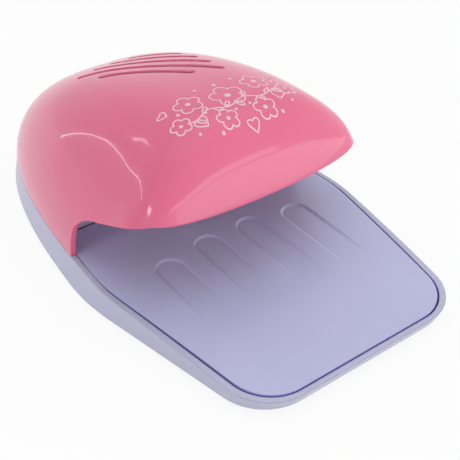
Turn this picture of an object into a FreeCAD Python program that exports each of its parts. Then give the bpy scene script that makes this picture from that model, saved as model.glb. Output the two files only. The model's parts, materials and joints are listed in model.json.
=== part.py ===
import FreeCAD, Part
import math
import os

from FreeCAD import Placement, Rotation, Vector

# Small battery nail dryer: a domed hood over a press plate, with a fan that runs while the plate is pressed.
# Sizes are in millimetres. Stations along Y count from the plate's front edge, heights from the housing's
# underside. The finished shapes are moved so that the origin is the centre of the footprint, under the feet.

# hood
hood_wall = 1.8
seam_z = 8.0                  # parting line between hood and housing
summit_y = 64.3               # station of the crown's highest point
summit_z = 55.0
dome_base_z = 7.0             # level from which the dome's form is drawn, below the seam
crown_front_reach = 24.0      # from the summit to the nose, before its flat is cut
crown_rear_reach = 97.5       # from the summit to the tail
crown_front_exponent = 2.98
crown_rear_exponent = 1.71
dome_half_width = 45.5
dome_waist_y = 66.0           # station of the dome's widest point
across_exponents = (3.14, 3.12, 3.8)   # squareness across, at tail, summit and nose
along_exponents = (1.66, 1.5, 4.1)
cheek_normal = (0.85, 0.057, 0.524)    # outward normal of the right cheek's flat, the left one mirrors it
cheek_offset = 53.04          # distance of that flat from the point at station 0, height 0, on the middle line
nose_normal = (0.0, -0.9965, 0.083)
nose_offset = -40.64
brim_mid_z = 30.8             # lower edge of the brim at the middle
brim_corner_z = 33.7
brim_corner_x = 37.0
foot_y = 79.4                 # front edge of the hood where it stands on the housing
mouth_side = ((79.5, 13.0), (79.1, 17.0), (77.0, 20.3), (72.0, 23.9), (65.0, 26.4), (56.2, 29.8), (46.0, 33.8))
vent_pitch = 5.5
vent_width = 1.7
vent_turn = -57.0             # degrees, the slots lie askew to the long axis
vent_middle = (-6.0, 94.6)    # middle of the slot nearest the brim
vent_lengths = (32.0, 50.0, 40.5, 31.0, 19.0)
vent_drift = -1.7             # shift of each slot's middle along the slots
lip_depth = 2.2               # locating lip, hanging inside the housing wall
lip_clearance = 0.25
lip_thickness = 1.1
lip_front_y = 102.0
lip_rear_y = 128.0

# housing
front_edge = -1.9             # foremost line of the outer wall, level with the plate's top
front_tuck = 1.5              # how far the outer wall's foot stands behind that line, at the underside
front_tuck_inside = 0.6
sole_flare_hip = 2.2          # how much wider the underside is than the seam, at the hips
sole_flare_tail = 1.0
sole_front_half_width = 36.0  # half widths where the straight sides meet the line of the front edge
rim_front_half_width = 36.6
sole_straight_half_width = 46.2
rim_straight_half_width = 45.3
straight_end_y = 56.0         # station where the straight sides end
corner_radius = 15.5
tail_points = 9
wall = 1.7
floor = 1.2

# press plate
plate_gap = 0.45
plate_thickness = 1.4
plate_front_z = 3.6           # top of the plate at station 0, then at the middle and back stations
plate_mid_z = 6.9
plate_back_z = 7.7
plate_station = 50.0          # from one of these stations to the next
plate_rear_y = 90.3
plate_travel = 0.7            # of the front edge
rib_height = 1.2              # stiffening ribs under the plate
rib_width = 1.2
rib_x = 15.0
rib_front_y = 18.0
rib_rear_y = 80.0
groove_pitch = 16.0
groove_width = 9.3
groove_count = 4
groove_depth = 0.6            # at the finger tips, running out to nothing at the front
groove_front_y = 29.0
groove_tip_outer_y = 61.9
groove_tip_inner_y = 64.7
hinge_y = 86.0
hinge_z = 3.9
hinge_x = 31.0                # middle of each knuckle
hinge_pin_radius = 1.0
running_clearance = 0.05
knuckle_width = 6.0
knuckle_radius = 1.9
ear_width = 2.0
ear_gap = 0.3
spring_x = 26.0
spring_y = 40.0
spring_coil_radius = 2.4
spring_wire_radius = 0.25
spring_turns = 3.5
spring_end_gap = 0.05
spring_peg_radius = 1.6
spring_peg_height = 1.4

# fan guard
guard_tilt = 15.0             # degrees from upright, top towards the nose
guard_thickness = 1.6
guard_fit = 0.35              # clearance between guard and hood
guard_bottom_z = 6.2
fan_y = 86.2                  # where the fan's axis meets the guard's front face
fan_z = 26.0
duct_radius = 18.6
duct_wall = 1.6
duct_depth = 12.5
lug_radius = 2.6
lug_reach = 1.6               # from the duct's outer wall to the lug's middle
lug_length = 6.0
lug_angle = 35.0              # above and below level, four lugs in all
guard_screw_x = 18.0
guard_screw_y = 96.5
guard_foot_half_width = 4.0
guard_foot_reach = 3.6        # behind the screw
guard_post_radius = 3.0
grille_seat = 0.8             # the grille sits on a step this wide in the duct's mouth
grille_rim = 1.2
grille_rib = 1.2
grille_hub_radius = 3.6
grille_ring_count = 2
grille_spokes = 6

# impeller, motor and bracket
blade_reach = 18.0
hub_radius = 6.5
hub_front = 3.4               # from the guard's front face to the hub's front
hub_length = 7.4
hub_skin = 1.2
hub_round = 2.0
hub_boss_radius = 2.4
blade_count = 5
blade_thickness = 1.1
blade_edge = 0.4
blade_root_pitch = 44.0       # degrees from the plane of rotation
blade_tip_pitch = 24.0
blade_root_chord = 8.5
blade_tip_chord = 13.0
blade_camber = 1.0
blade_sections = 4
bracket_thickness = 1.5
bracket_arm = 4.0
bracket_disc_radius = 10.5
motor_radius = 12.2
motor_length = 10.0
motor_round = 1.2
motor_cap_length = 2.4
motor_cap_radius = 11.4
motor_boss_radius = 3.0
motor_boss_length = 1.0
shaft_radius = 1.0
motor_screw_spacing = 12.0
motor_screw_length = 3.5
terminal_width = 2.0
terminal_thickness = 0.4
terminal_length = 2.0
motor_terminal_x = 6.0

# batteries, contacts and door
cell_radius = 7.25
cell_length = 50.5            # to the tip of the positive nub
cell_nub_radius = 2.75
cell_nub_length = 1.0
cell_z = 8.75
front_cell_y = 113.6
cell_pitch = 14.8
cell_clearance = 0.4
bay_wall = 1.2
contact_thickness = 0.4
contact_gap = 0.1
contact_half_width = 4.5
contact_z0 = 3.0
contact_z1 = 14.0
tail_z = 4.0                  # solder tails of the contacts
tail_reach = 1.8              # outside the bay wall
tail_clearance = 0.2
battery_spring_length = 5.0
battery_spring_radius = 3.2
battery_spring_wire = 0.3
battery_spring_turns = 3.5
door_gap = 0.3
door_tab_x = 15.0
door_tab_width = 6.0
door_tab_reach = 1.9          # past the edge of the opening
door_tab_lift = 0.15
door_tab_thickness = 0.85
door_tab_swing = 1.0          # head room for the tabs while the door swings
door_ear_half_width = 4.0
door_ear_length = 7.0
door_ear_height = 2.2
door_screw_back = 4.0         # from the door's rear edge to the screw
door_screw_length = 5.0
door_post_radius = 2.8
door_post_height = 4.0
door_screw_play = 0.5

# screws, feet, switch and leads
foot_radius = 4.0
foot_height = 1.0
foot_recess = 0.5
foot_places = ((27.0, 12.0), (14.0, 150.0))
screw_radius = 1.3
screw_head_radius = 2.4
screw_head_height = 1.4
screw_length = 12.0
screw_clearance = 0.25
screw_seat_z = 3.0
pillar_radius = 4.0
boss_radius = 3.0
housing_screw_places = ((37.0, 97.5), (26.0, 141.0))
small_screw_radius = 0.8
small_head_radius = 1.6
small_head_height = 1.0
small_screw_length = 4.5
screw_tip_room = 0.5
switch_y = 56.0
switch_width = 6.0
switch_height = 3.5
switch_terminal_length = 2.0
plunger_radius = 1.75
plunger_rise = 0.8
plunger_length = 1.5
plunger_room = 0.4            # under the plunger, a little more than its travel
press_gap = 0.05              # between the plunger and the plate's press pad
press_pad_radius = 2.2
lead_radius = 0.6
battery_to_switch_route = ((30.6, 110.8, 4.2), (30.7, 103.4, 3.3), (27.4, 96.5, 2.1), (23.0, 87.5, 1.9),
                           (15.0, 77.5, 1.86), (5.5, 69.5, 1.88), (1.6, switch_y + 5.3, 2.15))
switch_to_motor_route = ((-1.6, switch_y + 5.3, 2.15), (-4.0, 68.5, 1.88), (-13.5, 77.0, 1.86), (-21.0, 87.5, 1.9),
                         (-26.0, 97.5, 3.4), (-27.5, 102.0, 12.5), (-25.0, 108.5, 21.5), (-20.0, 115.5, 27.0),
                         (-13.5, 119.8, 31.5), (-8.0, 118.8, 34.2), (-6.0, 113.9, 33.45))
motor_to_battery_route = ((6.0, 113.9, 33.4), (8.5, 119.0, 34.0), (16.0, 121.5, 31.5), (25.0, 124.0, 26.0),
                          (30.6, 127.0, 18.5), (30.9, 128.4, 11.0), (30.4, 128.4, 4.4))

rear_cell_y = front_cell_y + cell_pitch
bay_half_length = (cell_length + battery_spring_length) / 2 + contact_thickness + contact_gap
bay_front_y = front_cell_y - cell_radius - cell_clearance
bay_rear_y = rear_cell_y + cell_radius + cell_clearance
duct_outer = duct_radius + duct_wall
lug_ring = duct_outer + lug_reach
motor_front = duct_depth + bracket_thickness
hub_rear = hub_front + hub_length
door_front_y = bay_front_y + door_gap
door_rear_y = bay_rear_y - door_gap
door_screw_y = door_rear_y + door_screw_back
far = 200.0                   # beyond every part


def box(x0, x1, y0, y1, z0, z1):
    return Part.makeBox(x1 - x0, y1 - y0, z1 - z0, Vector(x0, y0, z0))


def post(radius, x, y, z0, z1):
    return Part.makeCylinder(radius, z1 - z0, Vector(x, y, z0))


def bar(radius, x0, x1, y, z):
    return Part.makeCylinder(radius, x1 - x0, Vector(x0, y, z), Vector(1, 0, 0))


def behind(radius, near, deep, x=0.0, y=0.0):
    """Round post along the fan's axis, from one depth behind the guard's front face to another."""
    return Part.makeCylinder(radius, deep - near, Vector(x, y, -deep))


def tilted(shape):
    """Sets a shape drawn about the fan's axis in its place: X right, Y up the guard, Z out of its front."""
    frame = Placement(Vector(0, fan_y, fan_z), Rotation(Vector(1, 0, 0), 90 + guard_tilt))
    placed = shape.copy()
    placed.Placement = frame.multiply(placed.Placement)
    return placed


def main_solid(shape):
    """The largest solid of a cut, without offcuts."""
    return max(shape.Solids, key=lambda solid: solid.Volume)


def flipped(shape):
    return shape.mirror(Vector(0, 0, 0), Vector(1, 0, 0))


def both(shape):
    return [shape, flipped(shape)]


def both_sides(places):
    return [(side * x, y) for x, y in places for side in (1, -1)]


def screw(head_radius, head_height, radius, length):
    """Head on top of the seat at height 0, shank below it."""
    head = post(head_radius, 0, 0, 0, head_height)
    rim = [edge for edge in head.Edges if abs(edge.CenterOfMass.z - head_height) < 1e-6 and edge.Closed]
    return head.makeFillet(0.3 * head_height, rim).fuse(post(radius, 0, 0, -length, 0.1 * head_height))


def small_screw(length):
    return screw(small_head_radius, small_head_height, small_screw_radius, length)


# The dome's form: a crown line in the middle plane, which shrinks towards the waist as it moves out sideways.

def crown_point(angle, inset):
    """Point of the crown line, by the angle about the foot of the summit: 0 tail, 90 summit, 180 nose."""
    rear = angle <= math.pi / 2
    reach = (crown_rear_reach if rear else crown_front_reach) - inset
    power = crown_rear_exponent if rear else crown_front_exponent
    height = summit_z - dome_base_z - inset
    c = abs(math.cos(angle)) / reach
    s = abs(math.sin(angle)) / height
    radius = (c ** power + s ** power) ** (-1 / power)
    share = (radius * c) ** power      # 0 at the summit, 1 at the tail or nose
    return summit_y + radius * math.cos(angle), dome_base_z + radius * abs(math.sin(angle)), share


def blend(values, rear, share):
    """Value between the summit's and the tail's or nose's."""
    tail, summit, nose = values
    return summit + ((tail if rear else nose) - summit) * share


def dome_point(angle, across, inset=0.0):
    """Point of the dome: across runs from -1 at the left waist to 1 at the right one."""
    y, z, share = crown_point(angle, inset)
    rear = angle <= math.pi / 2
    shrink = (1 - abs(across) ** blend(across_exponents, rear, share)) ** (1 / blend(along_exponents, rear, share))
    return Vector((dome_half_width - inset) * across,
                  dome_waist_y + (y - dome_waist_y) * shrink,
                  dome_base_z + (z - dome_base_z) * shrink)


def whole_dome(inset=0.0, along=46, across=40):
    """The dome before any flats are cut, closed by a flat base and two small ends below the seam."""
    edge_turn = math.radians(88.4)
    rows = [[dome_point(math.pi * i / along, math.sin(edge_turn * (2 * j / across - 1)), inset)
             for j in range(across + 1)] for i in range(along + 1)]
    surface = Part.BSplineSurface()
    surface.interpolate(rows)
    skin = surface.toShape()
    left = Part.makeLine(rows[0][0], rows[-1][0])
    right = Part.makeLine(rows[0][-1], rows[-1][-1])
    end_x = rows[0][-1].x
    middles = [(edge, edge.CenterOfMass) for edge in skin.Edges]
    rims = [
        [edge for edge, middle in middles if abs(middle.x + end_x) < 1e-3] + [left],
        [edge for edge, middle in middles if abs(middle.x - end_x) < 1e-3] + [right],
        [edge for edge, middle in middles if abs(middle.z - dome_base_z) < 1e-3] + [left, right],
    ]
    faces = [skin] + [Part.Face(Part.Wire(Part.__sortEdges__(rim))) for rim in rims]
    shell = Part.Shell(faces)
    shell.sewShape()
    solid = Part.Solid(shell)
    if solid.Volume < 0:
        solid.reverse()
    return solid


def flat_cutter(direction, offset, inset):
    """Block outside a flat, by its outward direction and its distance from the origin."""
    normal = Vector(*direction)
    distance = offset / normal.Length - inset
    normal.normalize()
    block = Part.makeBox(2 * far, 2 * far, far, Vector(-far, -far, 0))
    block.Placement = Placement(normal * distance, Rotation(Vector(0, 0, 1), normal))
    return block


def dome(inset=0.0):
    """The dome with its cheek flats and nose flat, drawn inward by an inset."""
    x, y, z = cheek_normal
    flats = [flat_cutter((x, y, z), cheek_offset, inset), flat_cutter((-x, y, z), cheek_offset, inset),
             flat_cutter(nose_normal, nose_offset, inset)]
    return main_solid(whole_dome(inset).cut(flats))


# The housing's form.

def seam_y(across):
    """Station where the dome's tail half passes the seam level, found by halving."""
    low = 0.0
    high = math.pi / 2
    for _ in range(40):
        middle = (low + high) / 2
        if dome_point(middle, across).z < seam_z:
            low = middle
        else:
            high = middle
    return dome_point(low, across).y


def rear_end():
    return seam_y(0.0) + sole_flare_tail


def front_y(z, inset=0.0):
    """Station of the front wall at a level: its outer face leans back to the foot more than the inner ones."""
    tuck = front_tuck if inset == 0 else front_tuck_inside
    return front_edge + tuck * (1 - z / plate_front_z) + inset


def front_end():
    """Station of the housing's foremost point, where the outer wall meets the rim's top."""
    y = front_edge
    for _ in range(20):
        y = front_y(rim_top(y))
    return y


def housing_outline(z, inset=0.0):
    """Closed outline at a level: front edge, round corners, straight sides, then hips and tail under the dome."""
    low = 1 - z / seam_z
    half = rim_front_half_width + (sole_front_half_width - rim_front_half_width) * low - inset
    half_end = rim_straight_half_width + (sole_straight_half_width - rim_straight_half_width) * low - inset
    front = front_y(z, inset)
    radius = corner_radius - inset
    slope = (half_end - half) / (straight_end_y - front)
    side = math.atan(slope)
    centre = Vector(half + slope * radius - radius / math.cos(side), front + radius, z)
    corner_start = Vector(centre.x, front, z)
    side_start = centre + Vector(math.cos(side), -math.sin(side), 0) * radius
    middle_turn = -(math.pi / 2 + side) / 2
    corner_middle = centre + Vector(math.cos(middle_turn), math.sin(middle_turn), 0) * radius
    side_end = Vector(half_end, straight_end_y, z)
    widest = 0.9965           # share of the half width where the tail line starts
    points = [side_end]
    for step in range(tail_points):
        share = step / tail_points
        turn = math.pi / 2 * share
        across = math.cos(turn) * widest
        grow = (sole_flare_hip + (sole_flare_tail - sole_flare_hip) * share) * low - inset
        heading = Vector(math.cos(turn) ** 0.6, math.sin(turn), 0).normalize()
        points.append(Vector(dome_half_width * across, seam_y(across), z) + heading * grow)
    points.append(Vector(0, seam_y(0.0) + sole_flare_tail * low - inset, z))
    tail = Part.BSplineCurve()
    tail.interpolate(Points=points, InitialTangent=Vector(math.sin(side), math.cos(side), 0),
                     FinalTangent=Vector(-1, 0, 0))
    right = [Part.Arc(corner_start, corner_middle, side_start).toShape(),
             Part.makeLine(side_start, side_end), tail.toShape()]
    left = [flipped(edge) for edge in right]
    front_line = Part.makeLine(Vector(-corner_start.x, corner_start.y, z), corner_start)
    return Part.Wire(Part.__sortEdges__([front_line] + right + left))


def tray(inset=0.0):
    """Solid between the underside's outline and the seam's."""
    return Part.makeLoft([housing_outline(0.0, inset), housing_outline(seam_z, inset)], True, True)


def plate_top(y):
    """Height of the plate's top, on the parabola through its three stations."""
    bend = (plate_back_z - 2 * plate_mid_z + plate_front_z) / 2
    rise = plate_mid_z - plate_front_z - bend
    share = y / plate_station
    return plate_front_z + rise * share + bend * share ** 2


def plate_underside(y):
    return plate_top(y) - plate_thickness


def rim_top(y):
    """Flush with the plate at the front, rising to the seam at the hood's feet."""
    share = (y - front_edge) / (foot_y - front_edge)
    return plate_top(y) + (seam_z - plate_top(foot_y)) * share


def over(height, y0, y1, lift=0.0):
    """Block above an arched line of the side view, between two stations."""
    low = [Vector(-far, y, height(y) + lift) for y in (y0, (y0 + y1) / 2, y1)]
    high = [Vector(-far, y, far) for y in (y1, y0)]
    outline = [Part.Arc(low[0], low[1], low[2]).toShape(), Part.makeLine(low[2], high[0]),
               Part.makeLine(high[0], high[1]), Part.makeLine(high[1], low[0])]
    return Part.Face(Part.Wire(outline)).extrude(Vector(2 * far, 0, 0))


# Hood.

def mouth():
    """Space cut out of the dome: under the arched brim in front, and ahead of the feet at the sides."""
    arch = Part.Arc(Vector(-brim_corner_x, 0, brim_corner_z), Vector(0, 0, brim_mid_z),
                    Vector(brim_corner_x, 0, brim_corner_z)).toShape()
    corners = [Vector(brim_corner_x, 0, brim_corner_z), Vector(far, 0, brim_corner_z), Vector(far, 0, -far),
               Vector(-far, 0, -far), Vector(-far, 0, brim_corner_z), Vector(-brim_corner_x, 0, brim_corner_z)]
    front_view = [arch] + [Part.makeLine(a, b) for a, b in zip(corners, corners[1:])]
    under_brim = Part.Face(Part.Wire(front_view)).extrude(Vector(0, 2 * far, 0))
    under_brim.translate(Vector(0, -far, 0))
    corner = Part.BSplineCurve()
    corner.interpolate([Vector(0, foot_y, seam_z)] + [Vector(0, y, z) for y, z in mouth_side])
    top = mouth_side[-1]
    corners = [Vector(0, top[0], top[1]), Vector(0, -far, top[1]), Vector(0, -far, -far),
               Vector(0, foot_y, -far), Vector(0, foot_y, seam_z)]
    side_view = [corner.toShape()] + [Part.makeLine(a, b) for a, b in zip(corners, corners[1:])]
    ahead = Part.Face(Part.Wire(side_view)).extrude(Vector(2 * far, 0, 0))
    ahead.translate(Vector(-far, 0, 0))
    return under_brim.common(ahead)


def vent_slots():
    turn = math.radians(vent_turn)
    along = Vector(math.cos(turn), math.sin(turn), 0)
    sideways = Vector(-along.y, along.x, 0)
    slots = []
    for number, length in enumerate(vent_lengths):
        middle = Vector(*vent_middle, 0) + sideways * (number * vent_pitch) + along * (number * vent_drift)
        half = (length - vent_width) / 2
        slot = box(-half, half, -vent_width / 2, vent_width / 2, 0, far)
        slot = slot.fuse([post(vent_width / 2, x, 0, 0, far) for x in (-half, half)])
        slot.Placement = Placement(middle, Rotation(Vector(0, 0, 1), vent_turn))
        slots.append(slot)
    return slots


def seam_band(outer_inset, inner_inset, z0, z1):
    """Upright band that follows the seam's outline."""
    height = Vector(0, 0, z1 - z0)
    band = Part.Face(housing_outline(seam_z, outer_inset)).extrude(height)
    band = band.cut(Part.Face(housing_outline(seam_z, inner_inset)).extrude(height))
    band.translate(Vector(0, 0, z0 - seam_z))
    return band


def upper_hood():
    below = box(-far, far, -far, far, -far, seam_z)
    shell = main_solid(dome().cut(dome(hood_wall)).cut([below, mouth()] + vent_slots()))
    half_way = dome(hood_wall / 2)
    places = both_sides(housing_screw_places)
    bosses = [post(boss_radius, x, y, seam_z, far).common(half_way) for x, y in places]
    lip_inset = wall + lip_clearance
    lip = seam_band(lip_inset, lip_inset + lip_thickness, seam_z - lip_depth, seam_z)
    step = seam_band(hood_wall / 2, lip_inset + lip_thickness, seam_z, seam_z + lip_thickness).common(half_way)
    lips = lip.fuse(step).common(box(-far, far, lip_front_y, lip_rear_y, 0, far))
    tip = screw_seat_z + screw_length + screw_tip_room
    holes = [post(screw_radius + running_clearance, x, y, 0, tip) for x, y in places]
    return main_solid(shell.fuse(bosses + [lips]).cut(holes))


# Press plate.

def groove(x, tip_y):
    """Wedge with a round tip: nothing deep at its front end, full depth at the finger tip."""
    half = groove_width / 2
    middle = tip_y - half
    shape = box(x - half, x + half, groove_front_y, middle, 0, far).fuse(post(half, x, middle, 0, far))
    start = Vector(0, groove_front_y, plate_top(groove_front_y))
    rise = plate_top(tip_y) - groove_depth - start.z
    bottom = Part.makeBox(2 * far, 2 * far, far, Vector(-far, -far, -far))
    bottom.Placement = Placement(start, Rotation(Vector(1, 0, 0), math.degrees(math.atan2(rise, tip_y - start.y))))
    return shape.cut(bottom)


def finger_plate():
    span = box(-far, far, -far, plate_rear_y, 0, seam_z)
    above = over(plate_top, -plate_station, 2 * plate_station)
    plate = tray(wall + plate_gap).common(span).cut(above)
    plate = plate.common(over(plate_top, -plate_station, 2 * plate_station, -plate_thickness))
    grooves = []
    for number in range(groove_count):
        x = (number - (groove_count - 1) / 2) * groove_pitch
        tip_y = groove_tip_outer_y if number in (0, groove_count - 1) else groove_tip_inner_y
        grooves.append(groove(x, tip_y))
    plate = plate.cut(grooves)
    rib = box(rib_x - rib_width / 2, rib_x + rib_width / 2, rib_front_y, rib_rear_y, 0, seam_z)
    rib = rib.common(over(plate_top, -plate_station, 2 * plate_station, -plate_thickness - rib_height))
    rib = rib.cut(over(plate_top, -plate_station, 2 * plate_station, -plate_thickness / 2 - groove_depth / 2))
    knuckle = bar(knuckle_radius, hinge_x - knuckle_width / 2, hinge_x + knuckle_width / 2, hinge_y, hinge_z)
    web = box(hinge_x - knuckle_width / 2, hinge_x + knuckle_width / 2, hinge_y - knuckle_radius * 0.8,
              hinge_y + knuckle_radius * 0.8, hinge_z, plate_top(hinge_y) - plate_thickness / 2)
    bore = bar(hinge_pin_radius + running_clearance, -far, far, hinge_y, hinge_z)
    pad_z = floor + switch_height + plunger_rise + press_gap
    pad = post(press_pad_radius, 0, switch_y, pad_z, plate_top(switch_y) - plate_thickness / 2)
    extras = both(rib) + both(knuckle) + both(web) + [pad]
    return main_solid(plate.fuse(extras).cut(bore))


def hinge_ear_spans():
    """X spans of the two ears beside a knuckle."""
    inner = hinge_x - knuckle_width / 2 - ear_gap
    outer = hinge_x + knuckle_width / 2 + ear_gap
    return (inner - ear_width, inner), (outer, outer + ear_width)


def hinge_pin():
    (start, _), (_, end) = hinge_ear_spans()
    return bar(hinge_pin_radius, start, end, hinge_y, hinge_z)


def coil(radius, wire_radius, length, turns):
    """Round wire coil that stands on height 0: half rings, each tilted to meet the next."""
    count = round(2 * turns)
    rise = (length - 2 * wire_radius) / count
    halves = []
    for number in range(count):
        half = Part.makeTorus(math.hypot(radius, rise / 2), wire_radius, Vector(0, 0, 0), Vector(0, 0, 1), 0, 360, 180)
        half.rotate(Vector(0, 0, 0), Vector(0, 1, 0), math.degrees(math.atan2(rise / 2, radius)))
        half.rotate(Vector(0, 0, 0), Vector(0, 0, 1), 180 * (number % 2))
        half.translate(Vector(0, 0, wire_radius + rise * (number + 0.5)))
        halves.append(half)
    return main_solid(halves[0].fuse(halves[1:]))


def plate_spring():
    length = plate_underside(spring_y) - floor - 2 * spring_end_gap
    spring = coil(spring_coil_radius, spring_wire_radius, length, spring_turns)
    spring.translate(Vector(spring_x, spring_y, floor + spring_end_gap))
    return spring


# Fan guard, impeller and motor.

def lug_places():
    turn = math.radians(lug_angle)
    return both_sides([(lug_ring * math.cos(turn), lug_ring * math.sin(turn)),
                       (lug_ring * math.cos(turn), -lug_ring * math.sin(turn))])


def fan_guard():
    slab = tilted(box(-far, far, -far, far, -guard_thickness, 0))
    baffle = dome(hood_wall + guard_fit).common(slab).common(box(-far, far, 0, far, guard_bottom_z, far))
    duct = behind(duct_outer, guard_thickness / 2, duct_depth)
    lugs = [behind(lug_radius, duct_depth - lug_length, duct_depth, x, y) for x, y in lug_places()]
    foot_front = fan_y + (fan_z - guard_bottom_z) * math.tan(math.radians(guard_tilt)) + guard_thickness / 2
    foot = box(guard_screw_x - guard_foot_half_width, guard_screw_x + guard_foot_half_width, foot_front,
               guard_screw_y + guard_foot_reach, guard_bottom_z, guard_bottom_z + guard_thickness)
    guard = baffle.fuse([tilted(shape) for shape in [duct] + lugs] + both(foot))
    cuts = [behind(duct_radius, -1, duct_depth + 1), behind(duct_radius + grille_seat, -1, guard_thickness)]
    cuts += [behind(small_screw_radius + running_clearance, duct_depth - small_screw_length, duct_depth + 1, x, y)
             for x, y in lug_places()]
    foot_hole = post(small_screw_radius + running_clearance, guard_screw_x, guard_screw_y, 0, far / 2)
    foot_hole = foot_hole.common(box(0, far, 0, far, 0, guard_bottom_z + 2 * guard_thickness))
    return main_solid(guard.cut([tilted(cut) for cut in cuts] + both(foot_hole)))


def outlet_grille():
    """Ring, inner rings and spokes in the duct's mouth."""
    outer = duct_radius + grille_seat - running_clearance
    inner = outer - grille_rim - grille_seat
    step = (inner - grille_hub_radius) / (grille_ring_count + 1)
    rings = [behind(outer, 0, guard_thickness).cut(behind(inner, -1, guard_thickness + 1)),
             behind(grille_hub_radius, 0, guard_thickness)]
    for number in range(grille_ring_count):
        radius = grille_hub_radius + (number + 1) * step
        rings.append(behind(radius + grille_rib / 2, 0, guard_thickness)
                     .cut(behind(radius - grille_rib / 2, -1, guard_thickness + 1)))
    spokes = []
    for number in range(grille_spokes):
        spoke = box(0, inner + grille_rim / 2, -grille_rib / 2, grille_rib / 2, -guard_thickness, 0)
        spoke.rotate(Vector(0, 0, 0), Vector(0, 0, 1), 360 / grille_spokes * number + 90)
        spokes.append(spoke)
    return tilted(main_solid(rings[0].fuse(rings[1:] + spokes)))


def blade_section(radius, chord, pitch):
    """Cambered section across a blade, at a radius from the axis."""
    turn = math.radians(pitch)
    chordwise = Vector(0, math.cos(turn), math.sin(turn))
    upward = Vector(0, -math.sin(turn), math.cos(turn))
    middle = Vector(radius, 0, -(hub_front + hub_length / 2)) - upward * (blade_camber / 2)
    ends = [middle + chordwise * (side * chord / 2) for side in (-1, 1)]
    face = [end + upward * (blade_edge / 2) for end in ends]
    back = [end - upward * (blade_edge / 2) for end in ends]
    face_middle = middle + upward * (blade_camber + blade_thickness / 2)
    back_middle = middle + upward * (blade_camber - blade_thickness / 2)
    return Part.Wire([Part.Arc(face[0], face_middle, face[1]).toShape(), Part.makeLine(face[1], back[1]),
                      Part.Arc(back[1], back_middle, back[0]).toShape(), Part.makeLine(back[0], face[0])])


def fan_impeller():
    hub = behind(hub_radius, hub_front, hub_rear)
    front_rim = [edge for edge in hub.Edges if edge.Closed and abs(edge.CenterOfMass.z + hub_front) < 1e-6]
    hub = hub.makeFillet(hub_round, front_rim)
    hollow = behind(hub_radius - hub_skin, hub_front + hub_skin, hub_rear + 1)
    hub = hub.cut(hollow).fuse(behind(hub_boss_radius, hub_front + hub_skin / 2, hub_rear))
    root = hub_radius - hub_skin / 2
    sections = []
    for number in range(blade_sections):
        share = number / (blade_sections - 1)
        sections.append(blade_section(root + (blade_reach + 1 - root) * share,
                                      blade_root_chord + (blade_tip_chord - blade_root_chord) * share,
                                      blade_root_pitch + (blade_tip_pitch - blade_root_pitch) * share))
    blade = Part.makeLoft(sections, True, False)
    room = behind(blade_reach, hub_front, hub_rear).cut(behind(root, hub_front - 1, hub_rear + 1))
    blade = blade.common(room)
    blades = []
    for number in range(blade_count):
        turned = blade.copy()
        turned.rotate(Vector(0, 0, 0), Vector(0, 0, 1), 360 / blade_count * number)
        blades.append(turned)
    shaft_hole = behind(shaft_radius + running_clearance / 2, hub_front + hub_skin, hub_rear + 1)
    return tilted(main_solid(hub.fuse(blades).cut(shaft_hole)))


def motor_shaft():
    return tilted(behind(shaft_radius, hub_front + hub_skin + contact_gap, motor_front + motor_length - contact_gap))


def motor_screw_places():
    return [(side * motor_screw_spacing / 2, 0) for side in (1, -1)]


def motor_bracket():
    disc = behind(bracket_disc_radius, duct_depth, motor_front)
    arms = []
    for x, y in lug_places():
        arm = box(0, lug_ring, -bracket_arm / 2, bracket_arm / 2, -motor_front, -duct_depth)
        arm.rotate(Vector(0, 0, 0), Vector(0, 0, 1), math.degrees(math.atan2(y, x)))
        arms += [arm, behind(lug_radius, duct_depth, motor_front, x, y)]
    holes = [behind(motor_boss_radius + running_clearance, duct_depth - 1, motor_front + 1)]
    holes += [behind(small_screw_radius + running_clearance, duct_depth - 1, motor_front + 1, x, y)
              for x, y in lug_places() + motor_screw_places()]
    return tilted(main_solid(disc.fuse(arms).cut(holes)))


def motor_can():
    can = behind(motor_radius, motor_front, motor_front + motor_length)
    front_rim = [edge for edge in can.Edges if edge.Closed and abs(edge.CenterOfMass.z + motor_front) < 1e-6]
    can = can.makeFillet(motor_round, front_rim)
    can = can.fuse(behind(motor_boss_radius, motor_front - motor_boss_length, motor_front))
    holes = [behind(shaft_radius + running_clearance, 0, motor_front + motor_length)]
    holes += [behind(small_screw_radius + running_clearance, 0, motor_front + motor_screw_length, x, y)
              for x, y in motor_screw_places()]
    return tilted(main_solid(can.cut(holes)))


def motor_end_cap():
    start = motor_front + motor_length
    return tilted(behind(motor_cap_radius, start, start + motor_cap_length))


def motor_terminals():
    start = motor_front + motor_length + motor_cap_length
    tab = box(motor_terminal_x - terminal_width / 2, motor_terminal_x + terminal_width / 2,
              -terminal_thickness / 2, terminal_thickness / 2, -start - terminal_length, -start)
    return [tilted(shape) for shape in both(tab)]


def set_screw(shape, x, y, depth, facing):
    """Small screw along the fan's axis: facing 1 has its head in front of the depth, -1 behind it."""
    placed = shape.copy()
    turn = Rotation(Vector(1, 0, 0), 0 if facing > 0 else 180)
    placed.Placement = Placement(Vector(x, y, -depth), turn)
    return tilted(placed)


def bracket_screws():
    shape = small_screw(bracket_thickness + small_screw_length - screw_tip_room)
    return [set_screw(shape, x, y, motor_front, -1) for x, y in lug_places()]


def motor_screws():
    shape = small_screw(bracket_thickness + motor_screw_length - screw_tip_room)
    return [set_screw(shape, x, y, duct_depth, 1) for x, y in motor_screw_places()]


def guard_screws():
    shape = small_screw(small_screw_length)
    shape.translate(Vector(guard_screw_x, guard_screw_y, guard_bottom_z + guard_thickness))
    return both(shape)


# Housing, door and feet.

def battery_bay(grow):
    """Barrel-roofed space for the two cells, grown by a wall thickness for its outside."""
    radius = cell_radius + cell_clearance + grow
    half = bay_half_length + grow
    arcs = [bar(radius, -half, half, y, cell_z) for y in (front_cell_y, rear_cell_y)]
    base = -1.0 if grow == 0 else 0.0
    return box(-half, half, front_cell_y - radius, rear_cell_y + radius, base, cell_z).fuse(arcs)


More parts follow.
